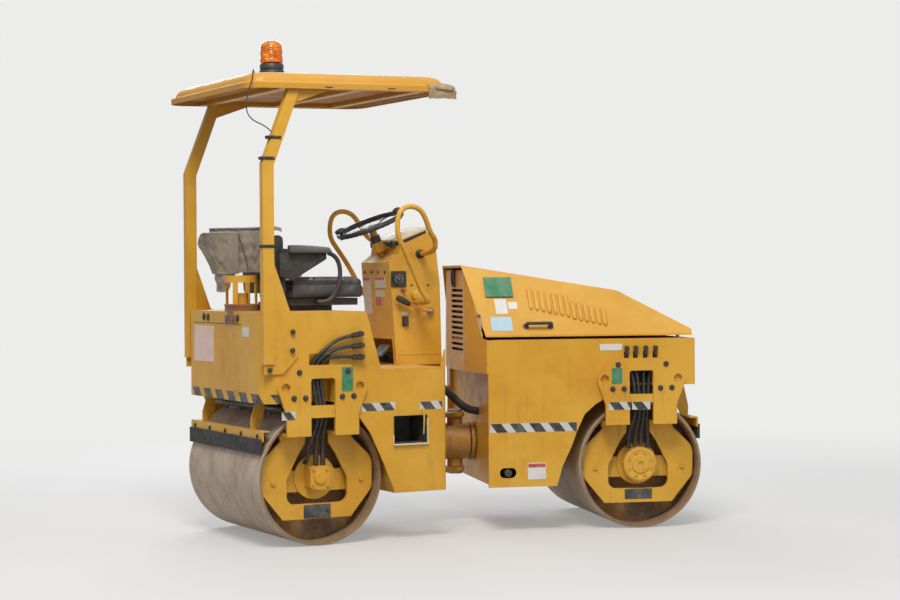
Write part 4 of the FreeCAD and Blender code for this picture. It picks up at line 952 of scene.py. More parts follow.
def groove(piece, distance, depth, width):
    """Presses a seam into a padded form along the line where distance(point) is nought."""
    normals = [vertex.normal.copy() for vertex in piece.data.vertices]
    for vertex, normal in zip(piece.data.vertices, normals):
        away = distance(vertex.co)
        vertex.co -= normal * depth * math.exp(-(away / width) ** 2)
    piece.data.update()


def make_seat():
    """Cushion, back and arm pads of grained vinyl over foam."""
    cushion = block("seat_cushion_pad", (-1.034, -0.230, 1.284), (-0.612, 0.230, 1.384))
    edit(cushion, "EDGE", lambda e: all(cushion.data.vertices[i].co.x > -0.7
                                        for i in e.vertices))
    bpy.ops.mesh.bevel(offset=0.030, segments=5, affect="EDGES")
    leave_edit()
    swelled(cushion, 0.006, 0.012, 1.292)
    groove(cushion, lambda p: p.z - 1.352, 0.004, 0.004)
    groove(cushion, lambda p: (p.x + 0.72) if p.z > 1.36 else 1.0, 0.005, 0.006)
    groove(cushion, lambda p: (p.x + 0.90) if p.z > 1.36 else 1.0, 0.005, 0.006)
    give(cushion, "vinyl", stands_for=["seat_cushion"], degrees=60)

    back = block("seat_back_pad", (-0.031, -0.226, 0.006), (0.029, 0.226, 0.326))
    edit(back, "EDGE", lambda e: all(back.data.vertices[i].co.z > 0.3 for i in e.vertices))
    bpy.ops.mesh.bevel(offset=0.022, segments=4, affect="EDGES")
    leave_edit()
    lean = math.atan2(-0.020, 0.340)
    moved(back, Matrix.Translation(Vector((-1.095, 0, 1.302))) @ Matrix.Rotation(lean, 4, "Y"))
    swelled(back, 0.006, 0.012, 1.312)
    groove(back, lambda p: abs(p.y) - 0.150 if p.x > -1.10 else 1.0, 0.005, 0.006)
    give(back, "vinyl", stands_for=["seat_back"], degrees=60)

    pads = block("arm_pads", (-1.076, -0.298, 1.5195), (-0.830, -0.252, 1.563), 0.010, 4)
    edit(pads, "VERT", lambda v: v.co.x > -0.86 and v.co.z > 1.54)
    bpy.ops.transform.translate(value=(-0.010, 0, -0.012))
    leave_edit()
    pads = both(pads)
    swelled(pads, 0.004, 0.004, 1.524)
    give(pads, "vinyl_grey", stands_for=["arm_rests"], degrees=60)

    tube = pipe("tube", [(-0.845, -0.268, 1.5205), (-0.815, -0.268, 1.514),
                         (-0.780, -0.268, 1.472), (-0.772, -0.268, 1.400),
                         (-0.790, -0.268, 1.325), (-0.832, -0.266, 1.268),
                         (-0.872, -0.250, 1.258), (-0.880, -0.222, 1.262),
                         (-0.880, -0.200, 1.262)], 0.012, fineness=4)
    cheek = prism("cheek", [(-1.120, 1.400), (-1.047, 1.374), (-0.849, 1.488), (-0.849, 1.5205),
                            (-1.120, 1.5205)], -0.259, -0.252, 0.002)
    screws = heads(0.007, NEAR, [(-1.075, -0.259, 1.430), (-0.985, -0.259, 1.470),
                                 (-0.900, -0.259, 1.502)], screw_head)
    frames = both(joined("arm_rest_tubes", [tube, cheek] + screws))
    give(frames, "black", stands_for=["arm_rest_frames"])


def cover_face(y, z):
    """How far back the cover's rear face hangs at a height: loose and full on the far side."""
    far = min(1.0, max(0.0, (y + 0.02) / 0.20))
    far = far * far * (3 - 2 * far)
    lower = min(1.0, max(0.0, (1.64 - z) / 0.33))
    return -1.178 - 0.145 * far * (1.0 - 0.36 * lower) + 0.006 * lower


def make_seat_cover():
    """Faded fabric pulled over the back's top, loose behind it, with a pouch on its far side."""
    def lie(u, v):
        y = 0.252 - 0.504 * u
        far = min(1.0, max(0.0, (y - 0.075) / 0.05))
        top_x, foot_z = cover_face(y, 1.64), 1.420 - 0.105 * far
        top_run = -1.100 - top_x
        share = v * (top_run + 1.650 - foot_z)
        # The near and far edges turn forward round the back's sides
        turned = max(0.0, abs(y) - 0.236)
        held_y = math.copysign(min(abs(y), 0.244), y)
        if share < top_run:
            ridge = math.sin(math.pi * share / top_run)
            spot = Vector((-1.100 - share, held_y, 1.652 + 0.007 * ridge - 1.3 * turned))
            hang = 0.25 * ridge
        else:
            z = 1.650 - (share - top_run)
            round_off = 0.014 * math.exp(-(1.650 - z) / 0.012)
            spot = Vector((cover_face(y, z) + round_off + 1.1 * turned, held_y, z))
            hang = min(1.0, (1.650 - z) / 0.06)
        folds = noise.noise(Vector((y * 15, spot.z * 5, 0.3))) * 0.013
        folds += noise.noise(Vector((y * 38, spot.z * 20, 2.0))) * 0.005
        folds += 0.003 * math.sin(spot.z * 90 + 5 * noise.noise(Vector((y * 9, 0, 5.0))))
        spot.x += folds * hang - 0.006 * hang
        spot.z += 0.004 * noise.noise(Vector((y * 20, spot.x * 20, 8.0)))
        return spot

    panel = draped("seat_cover_panel", 100, 100, lie, 0.0022)
    give(panel, "cloth", stands_for=["seat_cover"], degrees=60)

    def bag(u, v):
        """From the far edge to the middle seam; v from the bottom up to the open rim."""
        top_z = 1.552 + 0.080 * min(1.0, u / 0.30)
        z = 1.412 + (top_z - 1.412) * v
        y = 0.272 - 0.026 * (1.0 - v) - 0.225 * u + 0.036 * u * (1.0 - v)
        swell = (0.006 + 0.052 * v ** 1.4) * (1.0 - u) ** 0.5 * min(1.0, 0.72 + 2.5 * u)
        folds = noise.noise(Vector((u * 5.0, z * 13, 9.0))) * 0.013
        folds += noise.noise(Vector((u * 15.0, z * 34, 3.0))) * 0.005
        edge = min(1.0, 6.0 * (1.0 - u), 0.35 + 5.0 * u)
        return Vector((cover_face(min(y, 0.2), z) - 0.012 - swell - folds * edge, y, z))

    pouch = draped("seat_cover_pouch", 70, 50, bag, 0.0022)
    give(pouch, "cloth", degrees=60)
    rim = pipe("seat_cover_pouch_rim", [bag(k / 14, 1.0) for k in range(15)], 0.0035)
    give(rim, "piping")
    edge = pipe("seat_cover_edge", [Vector((cover_face(y, 1.64) + 0.004, y, 1.6575))
                                    for y in [0.240 - 0.030 * k for k in range(17)]], 0.0038)
    give(edge, "piping")
    seam = pipe("seat_cover_seam", [Vector((cover_face(y, z) - 0.013, y, z))
                                    for y, z in [(0.050 - 0.006 * k, 1.630 - 0.024 * k)
                                                 for k in range(9)]], 0.0026)
    give(seam, "piping_dark")


# Steering and levers

def make_steering_wheel():
    bpy.ops.object.select_all(action="DESELECT")
    bpy.ops.mesh.primitive_torus_add(major_radius=WHEEL_R, minor_radius=0.0150,
                                     major_segments=72, minor_segments=14)
    rim = settle(bpy.context.object, "rim")
    for vertex in rim.data.vertices:
        turn = math.atan2(vertex.co.y, vertex.co.x)
        if vertex.co.z < -0.004:
            vertex.co.z += 0.0016 * (0.5 + 0.5 * math.cos(36 * turn))
    parts = [rim]
    for angle in (-90, 30, 150):
        spoke = block("spoke", (0.030, -0.017, -0.012), (WHEEL_R - 0.004, 0.017, -0.004), 0.003, 2)
        edit(spoke, "VERT", lambda v: v.co.x < 0.1)
        bpy.ops.transform.resize(value=(1, 1.35, 1), center_override=(0.03, 0, -0.008))
        leave_edit()
        parts.append(moved(spoke, Matrix.Rotation(math.radians(angle), 4, "Z")))
    parts.append(lathed("hub", [(-0.034, 0.044), (-0.030, 0.052), (-0.017, 0.060), (-0.015, 0.062),
                                (-0.004, 0.062), (0.001, 0.058), (0.002, 0.047), (0.000, 0.045),
                                (0.003, 0.034), (0.004, 0.008)], 36))
    for angle, size in ((180, 0.032), (-50, 0.025)):
        knob = lathed("knob", [(0.000, 0.008), (0.019, 0.008), (0.022, 0.7 * size),
                               (0.027, 0.94 * size), (0.038, size), (0.046, 0.86 * size),
                               (0.051, 0.5 * size), (0.053, 0.003)], 24)
        clamp = lathed("clamp", [(-0.014, 0.012), (-0.014, 0.0155), (0.012, 0.0155),
                                 (0.014, 0.013)], 20)
        spot = Matrix.Rotation(math.radians(angle), 4, "Z") @ Matrix.Translation(
            Vector((WHEEL_R, 0, 0)))
        parts += [moved(knob, spot), moved(clamp, spot)]
    wheel = moved(joined("steering_wheel_rim", parts), WHEEL_PLACE)
    give(wheel, "plastic", "steering_wheel", ["steering_wheel"])


HANDRAIL = [(-0.284, -0.176, 1.252), (-0.284, -0.340, 1.252), (-0.298, -0.368, 1.262),
            (-0.345, -0.376, 1.320), (-0.405, -0.390, 1.440), (-0.465, -0.412, 1.540),
            (-0.512, -0.431, 1.612), (-0.513, -0.431, 1.700), (-0.488, -0.431, 1.754),
            (-0.430, -0.431, 1.772), (-0.370, -0.428, 1.752), (-0.333, -0.418, 1.698),
            (-0.302, -0.402, 1.630), (-0.254, -0.380, 1.590), (-0.246, -0.345, 1.517),
            (-0.248, -0.176, 1.517)]


def make_handrails():
    rail = pipe("handrail_tubes", HANDRAIL, 0.014, fineness=5)
    boss = lathed("boss", [(0.0, 0.036), (0.006, 0.036), (0.010, 0.033), (0.020, 0.031),
                           (0.024, 0.027), (0.028, 0.018)], 32)
    parts = [rail, moved(boss, facing((-0.270, -0.176, 1.290), NEAR))]
    parts += heads(0.007, NEAR, [(-0.262, -0.202, 1.318), (-0.296, -0.202, 1.276),
                                 (-0.250, -0.202, 1.272)])
    give(both(joined("handrail_tubes", parts)), "yellow", stands_for=["handrails"])
    collar = lathed("handrail_collars", [(0.0, 0.026), (0.010, 0.026), (0.013, 0.022),
                                         (0.026, 0.020), (0.030, 0.0145)], 28)
    collars = both(moved(collar, facing((-0.248, -0.176, 1.517), NEAR)))
    give(collars, "rubber")


def make_drive_lever():
    stem = pipe("drive_lever_stem", [(-0.190, -0.176, 1.203), (-0.190, -0.205, 1.203),
                                     (-0.262, -0.212, 1.210), (-0.396, -0.216, 1.272)],
                0.007, 0.030)
    give(stem, "orange", stands_for=["drive_lever"])
    along = Vector((-0.082, -0.003, 0.0379))
    knob = lathed("drive_lever_knob", [(0.0, 0.010), (0.003, 0.014), (0.020, 0.016),
                                       (0.060, 0.0175), (0.080, 0.017), (0.088, 0.013),
                                       (0.092, 0.005)], 24)
    give(moved(knob, facing((-0.330, -0.214, 1.2416), along)), "plastic")
    boss = lathed("drive_lever_boss", [(0.0, 0.020), (0.014, 0.020), (0.017, 0.018),
                                       (0.018, 0.012), (0.024, 0.0115), (0.026, 0.009)], 24)
    give(moved(boss, facing((-0.190, -0.176, 1.203), NEAR)), "steel")


def make_hood_handles():
    foot = HOOD_CREASE + Vector((0.362, HOOD_LEAN * 0.046, 0.046))
    out, run = HOOD_OUT, Vector((0.138, 0, 0))
    grip = pipe("grip", [foot + out * 0.001, foot + out * 0.034, foot + out * 0.034 + run,
                         foot + run + out * 0.001], 0.009, 0.018, 4)
    feet = [moved(lathed("foot", [(0.0, 0.017), (0.003, 0.017), (0.005, 0.014)], 20),
                  facing(foot + run * k + out * 0.0005, out)) for k in (0, 1)]
    handles = both(joined("hood_grips", [grip] + feet))
    give(handles, "black", "hood", ["hood_handles"])


# Hoses

REAR_HOSES = [
    [(-0.800, -0.573, 1.097), (-0.912, -0.574, 1.080), (-0.972, -0.573, 1.046),
     (-1.028, -0.566, 1.000), (-1.062, -0.541, 0.955), (-1.064, -0.535, 0.900),
     (-1.056, -0.535, 0.840), (-1.044, -0.535, 0.775), (-1.032, -0.535, 0.705),
     (-1.026, -0.520, 0.640), (-1.040, -0.500, 0.582), (-1.056, -0.478, 0.525),
     (-1.060, -0.460, 0.476), (-1.054, -0.450, 0.429), (-1.054, -0.418, 0.429)],
    [(-0.796, -0.573, 1.037), (-0.908, -0.574, 1.030), (-0.964, -0.573, 1.012),
     (-1.014, -0.564, 0.985), (-1.040, -0.541, 0.950), (-1.041, -0.535, 0.895),
     (-1.034, -0.535, 0.835), (-1.022, -0.535, 0.772), (-1.010, -0.535, 0.704),
     (-1.000, -0.520, 0.645), (-1.012, -0.488, 0.590), (-1.008, -0.456, 0.540),
     (-1.008, -0.456, 0.412)],
    [(-0.796, -0.573, 0.976), (-0.902, -0.573, 0.980), (-0.955, -0.569, 0.982),
     (-1.000, -0.550, 0.975), (-1.017, -0.535, 0.928), (-1.018, -0.535, 0.875),
     (-1.010, -0.535, 0.820), (-1.000, -0.535, 0.762), (-0.988, -0.535, 0.700),
     (-0.976, -0.520, 0.645), (-0.982, -0.488, 0.590), (-0.969, -0.456, 0.540),
     (-0.969, -0.456, 0.412)]]

# For each front hose: x at its elbow, over the clamp, at it, under it, at the slot's foot and at
# the hub, and the height where it ends
FRONT_HOSES = [(0.905, 0.946, 0.962, 0.968, 0.964, 0.946, 0.436),
               (0.956, 0.972, 0.986, 0.992, 0.994, 0.985, 0.452),
               (1.013, 1.009, 1.011, 1.016, 1.018, 1.018, 0.452),
               (1.068, 1.040, 1.035, 1.038, 1.038, 1.058, 0.436)]


def make_hoses():
    rear = [pipe("hose", route, 0.0095, fineness=4) for route in REAR_HOSES]
    give(joined("rear_drive_hoses", rear), "hose", stands_for=["rear_hoses"])
    front = []
    for x, slot_x, clamp_x, under_x, low_x, end_x, end_z in FRONT_HOSES:
        front.append(pipe("hose", [
            (x, -0.565, 0.996), (x, -0.565, 0.971), (x, -0.532, 0.941),
            ((2 * x + slot_x) / 3, -0.530, 0.893), (slot_x, -0.530, 0.838),
            ((slot_x + clamp_x) / 2, -0.530, 0.780), (clamp_x, -0.530, 0.720),
            (under_x, -0.520, 0.662), (low_x, -0.488, 0.600),
            ((low_x + end_x) / 2, -0.462, 0.555), (end_x, -0.445, 0.510),
            (end_x, -0.445, end_z)], 0.0095, fineness=4))
    give(joined("front_drive_hoses", front), "hose", "front_frame", ["front_hoses"])


CONDUIT = [(-0.285, -0.190, 0.838), (-0.225, -0.190, 0.838), (-0.160, -0.185, 0.808),
           (-0.092, -0.174, 0.764), (-0.030, -0.160, 0.714), (0.028, -0.152, 0.668),
           (0.078, -0.150, 0.642), (0.128, -0.158, 0.636)]


def make_conduit():
    """Ribbed sleeve round the lines that cross the joint between the frames."""
    holder = curve_along("line", CONDUIT, 14)
    line = [v.co.copy() for v in bpy.data.meshes.new_from_object(holder).vertices]
    bpy.data.objects.remove(holder)
    sleeve = pipe("sleeve", CONDUIT, 0.0185, fineness=4)
    bpy.ops.object.select_all(action="DESELECT")
    bpy.ops.mesh.primitive_torus_add(major_radius=0.0195, minor_radius=0.0027,
                                     major_segments=22, minor_segments=6)
    rib = settle(bpy.context.object, "rib")
    ribs, gone = [], 0.0
    for before, here in zip(line, line[1:]):
        gone += (here - before).length
        if gone >= 0.0075:
            ribs.append(copied(rib, facing(here, here - before)))
            gone -= 0.0075
    bpy.data.objects.remove(rib)
    whole = joined("joint_conduit", [sleeve] + ribs)
    moved(whole, REAR_PLACE)
    whole.data.materials.clear()
    whole.data.materials.append(finishes["rubber"])
    smooth(whole, 50)
    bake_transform(whole)


# Blank plates, labels and warning stripes

# Name, centre, the way it faces, width, height, finish, body
PLATES = [
    ("rear_sign", (-1.3405, 0.280, 1.035), REAR, 0.283, 0.194, "sign_rose", "rear_frame"),
    ("rear_sticker", (-1.3405, -0.318, 1.110), REAR, 0.081, 0.050, "label_white", "rear_frame"),
    ("rear_fork_green_plate", (-0.877, -0.5695, 0.864), NEAR, 0.063, 0.125, "plate_green",
     "rear_frame"),
    ("front_fork_green_plate", (0.846, -0.5695, 0.843), NEAR, 0.058, 0.087, "plate_green",
     "front_frame"),
    ("rear_fork_black_plate", (-1.000, -0.4515, 0.174), NEAR, 0.153, 0.070, "plate_black",
     "rear_frame"),
    ("front_fork_black_plate", (1.001, -0.4515, 0.182), NEAR, 0.156, 0.055, "plate_black",
     "front_frame"),
    ("hood_white_label", (0.239, -0.394, 1.225), HOOD_OUT, 0.066, 0.096, "label_white", "hood"),
    ("hood_small_label", (0.305, -0.391, 1.230), HOOD_OUT, 0.050, 0.045, "label_white", "hood"),
    ("hood_blue_label", (0.228, -0.4525, 1.131), HOOD_OUT, 0.117, 0.088, "label_blue", "hood"),
    ("cowl_green_plate", (0.236, -0.339, 1.332), HOOD_OUT, 0.155, 0.125, "plate_green", "hood"),
    ("side_hazard_label", (0.3965, -0.5515, 0.333), NEAR, 0.101, 0.090, "label_white",
     "front_frame"),
    ("side_hazard_head", (0.3965, -0.5525, 0.364), NEAR, 0.095, 0.020, "label_red",
     "front_frame"),
    ("cowl_label", (0.0915, -0.3721, 1.143), COWL_OUT, 0.200, 0.085, "label_cream",
     "front_frame"),
    ("cowl_label_head", (0.0905, -0.3723, 1.174), COWL_OUT, 0.190, 0.016, "label_red",
     "front_frame"),
    ("side_label_stack", (1.136, -0.5515, 0.683), NEAR, 0.046, 0.033, "label_white",
     "front_frame"),
    ("side_tape", (0.8175, -0.5515, 1.000), NEAR, 0.125, 0.035, "label_white", "front_frame"),
    ("console_red_label", (-0.4217, -0.013, 1.255), CONSOLE_OUT, 0.069, 0.038, "label_red",
     "rear_frame"),
    ("console_strip_label", (-0.4245, 0.122, 1.2875), CONSOLE_OUT, 0.094, 0.207,
     "label_cream", "rear_frame"),
    ("console_strip_head", (-0.4330, 0.122, 1.380), CONSOLE_OUT, 0.086, 0.016, "label_red",
     "rear_frame"),
    ("console_wide_label", (-0.4300, -0.049, 1.3605), CONSOLE_OUT, 0.128, 0.061,
     "label_cream", "rear_frame"),
    ("console_wide_head", (-0.4325, -0.049, 1.383), CONSOLE_OUT, 0.120, 0.014, "label_red",
     "rear_frame"),
    ("console_thin_label", (-0.4255, -0.039, 1.299), CONSOLE_OUT, 0.106, 0.038,
     "label_cream", "rear_frame"),
]


def make_plates():
    for name, centre, out, width, height, finish, body in PLATES:
        piece = moved(plate(name, width, height), against(centre, out))
        give(piece, finish, body)


# Name, middle of the strip (none for the one round the rear panel's corner), length, height,
# step of the dark bars, body
STRIPES = [
    ("rear_side_stripe", (-0.692, BODY_SIDE, 0.712), 0.200, 0.044, 0.105, "rear_frame"),
    ("rear_step_stripe", (-0.380, BODY_SIDE, 0.709), 0.136, 0.044, 0.110, "rear_frame"),
    ("rear_fork_stripe", (-1.208, FORK_SIDE, 0.684), 0.078, 0.044, 0.080, "rear_frame"),
    ("rear_panel_stripe", None, 1.165, 0.050, 0.168, "rear_frame"),
    ("front_side_stripe", (0.380, BODY_SIDE, 0.570), 0.486, 0.050, 0.108, "front_frame"),
    ("front_fork_stripe", (0.861, FORK_SIDE, 0.679), 0.124, 0.044, 0.100, "front_frame"),
    ("front_clamp_stripe", (0.984, -0.5665, 0.679), 0.104, 0.044, 0.100, "front_frame"),
]


def round_rear_corner(piece):
    """Bends a strip drawn along X round the rear panel's near corner, from its far edge."""
    radius, straight, z = 0.090, 0.461 + 0.455, 0.770
    for vertex in piece.data.vertices:
        along, out = vertex.co.x, -vertex.co.y
        if along < straight:
            place = Vector((REAR_PANEL_X - out, 0.455 - along, z + vertex.co.z))
        else:
            turn = (along - straight) / radius
            rest = max(0.0, turn - math.pi / 2) * radius
            turn = min(turn, math.pi / 2)
            reach = radius + out
            place = Vector((REAR_PANEL_X + radius - reach * math.cos(turn) + rest,
                            BODY_SIDE + radius - reach * math.sin(turn), z + vertex.co.z))
        vertex.co = place
    piece.data.update()
    return piece


def make_stripes():
    """Warning tape: a pale strip with slanted dark bars on it."""
    for name, middle, length, height, step, body in STRIPES:
        strip = plate(name, length, height, 0.0009, 0.001)
        bars = []
        left, right = -length / 2, length / 2 - 0.001
        lean, dark = 0.75 * height, 0.57 * step
        while left < length / 2 - 0.01:
            bars.append(prism("bar", [(min(right, left + lean), 0.001 - height / 2),
                                      (min(right, left + dark + lean), 0.001 - height / 2),
                                      (min(right, left + dark), height / 2 - 0.001),
                                      (left + 0.001, height / 2 - 0.001)], -0.0014, 0.0))
            left += step
        bars = joined(name + "_bars", bars)
        for piece, finish in ((strip, "tape_white"), (bars, "tape_black")):
            if middle:
                moved(piece, against(middle, NEAR))
            else:
                edit(piece)
                bpy.ops.mesh.subdivide(number_cuts=15 if piece is bars else 60)
                leave_edit()
                moved(piece, Matrix.Translation(Vector((length / 2, 0, 0))))
                round_rear_corner(piece)
            give(piece, finish, body)


# Bolts and small fittings

# Places of hexagon heads on a fork's upper plate, as (x from the axle, z), and on the near post
FORK_BOLTS = [(-0.147, 0.904), (0.126, 0.906), (-0.178, 0.772), (-0.114, 0.772),
              (0.094, 0.774), (0.159, 0.775)]
POST_BOLTS = [(-1.182, -0.5695, 1.113), (-1.184, -0.5695, 1.018), (-1.310, -0.5695, 0.921)]


def make_bolts():
    for body, axle_x, more in (("rear_frame", REAR_AXLE_X, heads(0.0105, NEAR, POST_BOLTS)),
                               ("front_frame", FRONT_AXLE_X, [])):
        bolts = heads(0.0115, NEAR, [(axle_x + x, FORK_SIDE, z) for x, z in FORK_BOLTS])
        give(joined(body + "_bolts", bolts + more), "dark_steel", body)


GAUGE = (-0.381, CONSOLE_SIDE, 1.379)


def make_console_fittings():
    """Gauge, switch, lid, screws and the curved lever by the steering wheel."""
    board = plate("console_gauge_board", 0.092, 0.088, 0.006, 0.006)
    give(moved(board, against(GAUGE, NEAR)), "plastic")
    dial = lathed("console_gauge_dial", [(0.005, 0.036), (0.013, 0.036), (0.015, 0.034),
                                         (0.015, 0.031), (0.011, 0.030), (0.011, 0.004)], 40)
    marks = []
    for k in range(9):
        turn = math.radians(-120 + 30 * k)
        mark = block("mark", (-0.0012, 0.021, 0.0105), (0.0012, 0.028, 0.0118), 0.0003, 1)
        marks.append(moved(mark, Matrix.Rotation(turn, 4, "Z")))
    hand = block("mark", (-0.0011, -0.004, 0.0108), (0.0011, 0.020, 0.0125), 0.0003, 1)
    marks.append(moved(hand, Matrix.Rotation(math.radians(50), 4, "Z")))
    spot = facing(GAUGE, NEAR)
    give(moved(dial, spot), "plastic")
    give(moved(joined("console_gauge_marks", marks), spot), "label_white")
    stub = lathed("console_red_stub", [(0.0, 0.012), (0.008, 0.012), (0.012, 0.009),
                                       (0.030, 0.009), (0.033, 0.006)], 20)
    give(moved(stub, facing((-0.356, -0.1765, 1.318), NEAR)), "label_red")
    switch = block("console_switch", (-0.361, -0.190, 1.121), (-0.325, -0.1755, 1.176), 0.003)
    give(push_in(switch, NEAR, 0.006, -0.006), "plastic")
    screws = heads(0.008, CONSOLE_OUT, [(-0.433, y, 1.418) for y in (0.138, 0.050, -0.030,
                                                                     -0.115)], screw_head)
    screws += heads(0.006, NEAR, [(x, CONSOLE_SIDE, 1.345) for x in (-0.410, -0.300, -0.200)],
                    screw_head)
    give(joined("console_screws", screws), "dark_steel")

    lid = prism("console_lid", [(-0.366, 1.583), (-0.176, 1.655), (-0.174, 1.664), (-0.180, 1.670),
                                (-0.372, 1.597), (-0.374, 1.588)], -0.154, 0.154, 0.003)
    give(lid, "console_cream")
    cluster = prism("dash_cluster", [(-0.365, 1.562), (-0.189, 1.6355), (-0.195, 1.655),
                                     (-0.372, 1.581)], -0.149, 0.149, 0.004)
    give(cluster, "plastic", stands_for=["dash"])
    lever = pipe("console_curved_lever", [(-0.350, -0.150, 1.580), (-0.366, -0.158, 1.622),
                                          (-0.372, -0.163, 1.660), (-0.386, -0.166, 1.688)],
                 0.006)
    give(lever, "plastic")
    clamp = lathed("column_clamp", [(-0.020, 0.022), (-0.020, 0.029), (0.020, 0.029),
                                    (0.020, 0.022)], 28)
    down = Vector((math.sin(WHEEL_TILT), 0, -math.cos(WHEEL_TILT)))
    give(moved(clamp, facing(WHEEL_CENTRE + down * 0.085, down)), "plastic")


def make_console_trim():
    """Folded edge at the console's foot, small plate over the switch and knobs by the column."""
    fold = block("console_foot_fold", (-0.386, -0.1795, 0.912), (-0.122, -0.1755, 0.972), 0.0015)
    give(push_in(fold, NEAR, 0.008, 0.002), "yellow")
    small = plate("console_switch_plate", 0.040, 0.016)
    give(moved(small, against((-0.345, -0.1762, 1.192), NEAR)), "label_cream")
    knobs = []
    for x, y, size in ((-0.372, -0.115, 0.013), (-0.372, -0.070, 0.010), (-0.388, 0.080, 0.012),
                       (-0.388, 0.125, 0.012)):
        knob = lathed("knob", [(0.0, size), (0.010, size), (0.014, size * 0.85),
                               (0.026, size * 0.80), (0.030, size * 0.5)], 18)
        knobs.append(moved(knob, facing((x, y, 1.556), (-0.35, 0, 1))))
    give(joined("console_top_knobs", knobs), "plastic")


def make_hood_ribs():
    """Rounded pressed ribs along both slopes of the hood: seven long and six short."""
    ribs = []
    for i in range(13):
        tall, middle = (0.122, 1.268) if i < 7 else (0.100, 1.250)
        z = middle - 0.007 * i
        half = tall / 2 + 0.004
        rib = block("rib", (-0.0125, -0.0100, -half), (0.0125, 0.0040, half), 0.0085, 4)
        y = HOOD_CREASE.y + (z - HOOD_CREASE.z) * HOOD_LEAN
        ribs.append(moved(rib, against((0.408 + 0.034 * i, y, z), HOOD_OUT)))
    give(both(joined("hood_ribs", ribs)), "yellow", "hood", degrees=60)


def make_radiator_core():
    """Finned core behind the openings of the cowl."""
    core = block("radiator_core", (0.082, -0.236, 0.950), (0.118, 0.236, 1.405), 0.003)
    give(push_in(core, REAR, 0.018, 0.004), "radiator", "front_frame")


def make_side_pocket():
    """Near-black sheet inside the pocket in the rear frame's side, painted shade of the pocket's
    hollow, with its bent lip and a yellow strap.
    """
    # The sheet's near-black is painted shade inside the pocket
    shade_sheet = block("side_pocket_shade_sheet", (-0.600, -0.556, 0.513), (-0.406, -0.353, 0.659))
    edit(shade_sheet, "FACE", lambda f: f.normal.y < -0.9)
    bpy.ops.mesh.delete(type="ONLY_FACE")
    leave_edit()
    edit(shade_sheet)
    bpy.ops.mesh.flip_normals()
    leave_edit()
    apply_modifier(shade_sheet, "SOLIDIFY", thickness=0.0012, offset=-1.0)
    give(shade_sheet, "grime_and_shade", degrees=30)
    lips = [block("lip", (-0.606, -0.566, 0.505), (-0.400, -0.550, 0.5125), 0.0022),
            block("lip", (-0.4065, -0.562, 0.505), (-0.400, -0.550, 0.640), 0.0022),
            block("lip", (-0.606, -0.556, 0.505), (-0.600, -0.550, 0.560), 0.0022)]
    give(joined("side_pocket_lip", lips), "console_cream")
    strap = prism("side_pocket_strap", [(-0.436, 0.694), (-0.422, 0.694), (-0.418, 0.640),
                                        (-0.424, 0.560), (-0.430, 0.556), (-0.428, 0.640)],
                  -0.558, -0.5535, 0.0012)
    give(strap, "strap")


def make_hub_fittings():
    """Bolted cap on the front hub, and the bolts of the rear drive motor and of both forks."""
    cap = lathed("front_hub_cap", [(0.0, 0.090), (0.004, 0.089), (0.006, 0.080), (0.004, 0.076),
                                   (0.005, 0.052), (0.011, 0.047), (0.012, 0.018),
                                   (0.004, 0.014), (0.003, 0.004)], 48)
    give(moved(cap, facing((1.0, -0.4915, 0.350), NEAR)), "fork_yellow", "front_frame")
    turns = [math.radians(22.5 + 45 * k) for k in range(8)]
    ring = heads(0.0065, NEAR, [(1.0 + 0.066 * math.cos(turn), -0.496,
                                 0.350 + 0.066 * math.sin(turn)) for turn in turns])
    ring += heads(0.011, NEAR, [(x, FORK_LOW_SIDE, 0.328) for x in (0.754, 1.252)])
    give(joined("front_hub_bolts", ring), "fork_yellow", "front_frame")
    bolts = heads(0.008, NEAR, [(x, -0.490, z) for x in (-1.038, -0.960)
                                for z in (0.308, 0.394)])
    cover = lathed("cover", [(0.0, 0.034), (0.006, 0.034), (0.010, 0.030), (0.010, 0.010)], 24)
    bolts.append(moved(cover, facing((-0.999, -0.490, 0.351), NEAR)))
    bolts += heads(0.011, NEAR, [(x, FORK_LOW_SIDE, 0.328) for x in (-1.246, -0.748)])
    give(joined("rear_motor_bolts", bolts), "fork_yellow")


def make_scraper_bolts():
    for body, face_x, out in (("rear_frame", -1.330, -1), ("front_frame", 1.330, 1)):
        bolts = heads(0.009, (out, 0, 0), [(face_x, y, 0.579)
                                           for y in (-0.445, -0.223, 0.0, 0.223, 0.445)])
        name = body.replace("frame", "scraper_bolts")
        give(joined(name, bolts), "dark_steel", body)


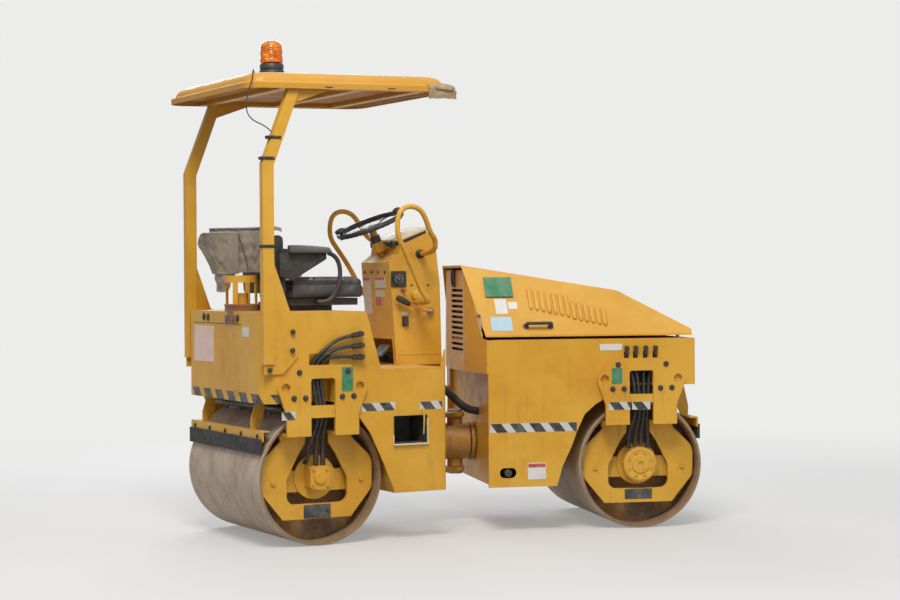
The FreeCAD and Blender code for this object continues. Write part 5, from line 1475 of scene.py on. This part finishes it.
def make_rear_lid():
    """Seam, lock plates and rusty hinge bracket of the cover in the rear panel."""
    seam = block("rear_lid_seam", (-1.3412, -0.262, 1.1475), (-1.3395, 0.434, 1.1510), 0.0005)
    give(seam, "grime_and_shade")
    locks = []
    for y, z in ((0.272, 1.181), (0.212, 1.179), (-0.212, 1.179)):
        disc = lathed("lock", [(0.0, 0.021), (0.003, 0.021), (0.005, 0.018), (0.003, 0.015),
                               (0.003, 0.007), (0.009, 0.006), (0.010, 0.003)], 28)
        locks.append(moved(disc, facing((-1.340, y, z), REAR)))
    give(joined("rear_lid_locks", locks), "dark_steel")
    strip = block("rear_lid_bracket", (-1.347, -0.176, 1.150), (-1.3395, -0.046, 1.196), 0.003)
    push_in(strip, REAR, 0.008, 0.0025)
    ear = block("ear", (-1.345, -0.150, 1.190), (-1.339, -0.072, 1.222), 0.002)
    bolts = heads(0.007, REAR, [(-1.345, y, 1.172) for y in (-0.152, -0.070)])
    give(joined("rear_lid_bracket", [strip, ear] + bolts), "rust")
    foot = lathed("filler_foot", [(1.2142, 0.0895), (1.238, 0.0895), (1.2435, 0.0925),
                                  (1.2505, 0.0915), (1.2520, 0.0860), (1.2505, 0.0780)], 40)
    moved(foot, Matrix.Translation(Vector((-1.240, -0.020, 0))))
    lug = block("lug", (-1.150, -0.060, 1.2145), (-1.138, -0.028, 1.262), 0.005, 3)
    give(joined("filler_foot", [foot, lug]), "rust")


def make_slot_backing():
    """Near-black inner plate behind the front hoses, with its edge turned in: its near-black is
    painted shade in the slot.
    """
    back = block("front_slot_backing", (0.850, -0.478, 0.735), (1.128, -0.470, 1.010), 0.002)
    give(push_in(back, NEAR, 0.012, 0.003), "grime_and_shade", "front_frame")


def make_console_sills():
    """Turned-down edge under the console, and the far wall of the pedal's opening."""
    sill = block("console_sill", (-0.392, -0.1775, 0.886), (-0.112, -0.1700, 0.9160), 0.002)
    give(sill, "yellow")
    # The wall's near-black is painted shade in the pedal's opening
    wall = block("pedal_well_wall", (-0.400, 0.146, 0.886), (-0.112, 0.152, 0.960), 0.002)
    give(wall, "grime_and_shade")


def make_cowl_latch():
    latch = block("cowl_latch", (0.052, -0.012, 1.330), (0.0655, 0.016, 1.432), 0.003)
    push_in(latch, REAR, 0.005, -0.005)
    hasp = pipe("hasp", [(0.050, 0.002, 1.440), (0.044, 0.002, 1.410), (0.044, 0.002, 1.360),
                         (0.050, 0.002, 1.336)], 0.004)
    give(joined("cowl_latch", [latch, hasp]), "dark_steel", "front_frame")
    rod = pipe("joint_pale_rod", [(-0.110, -0.250, 0.931), (-0.112, -0.250, 0.880),
                                  (-0.110, -0.250, 0.793)], 0.006)
    give(rod, "piping")


def make_post_ties():
    """Ties that hold the lamp's lead on the near post."""
    ties = []
    for x, z in ((-1.276, 2.105), (-1.313, 1.998), (-1.313, 1.551)):
        tie = block("tie", (x - 0.036, -0.573, z - 0.008), (x + 0.036, -0.525, z + 0.008), 0.003)
        ties.append(push_in(tie, NEAR, 0.004, -0.0015))
    give(joined("post_ties", ties), "rubber")


# The machine

add_camera()
add_stage()
finishes = make_finishes()
dress_nodes()
make_beacon_cable()
make_roof()
make_beacon()
make_corner_rag()
make_seat()
make_seat_cover()
make_steering_wheel()
make_handrails()
make_drive_lever()
make_hood_handles()
make_hoses()
make_conduit()
make_plates()
make_stripes()
make_bolts()
make_console_fittings()
make_console_trim()
make_post_ties()
make_hood_ribs()
make_radiator_core()
make_side_pocket()
make_hub_fittings()
make_scraper_bolts()
make_rear_lid()
make_cowl_latch()
make_slot_backing()
make_console_sills()
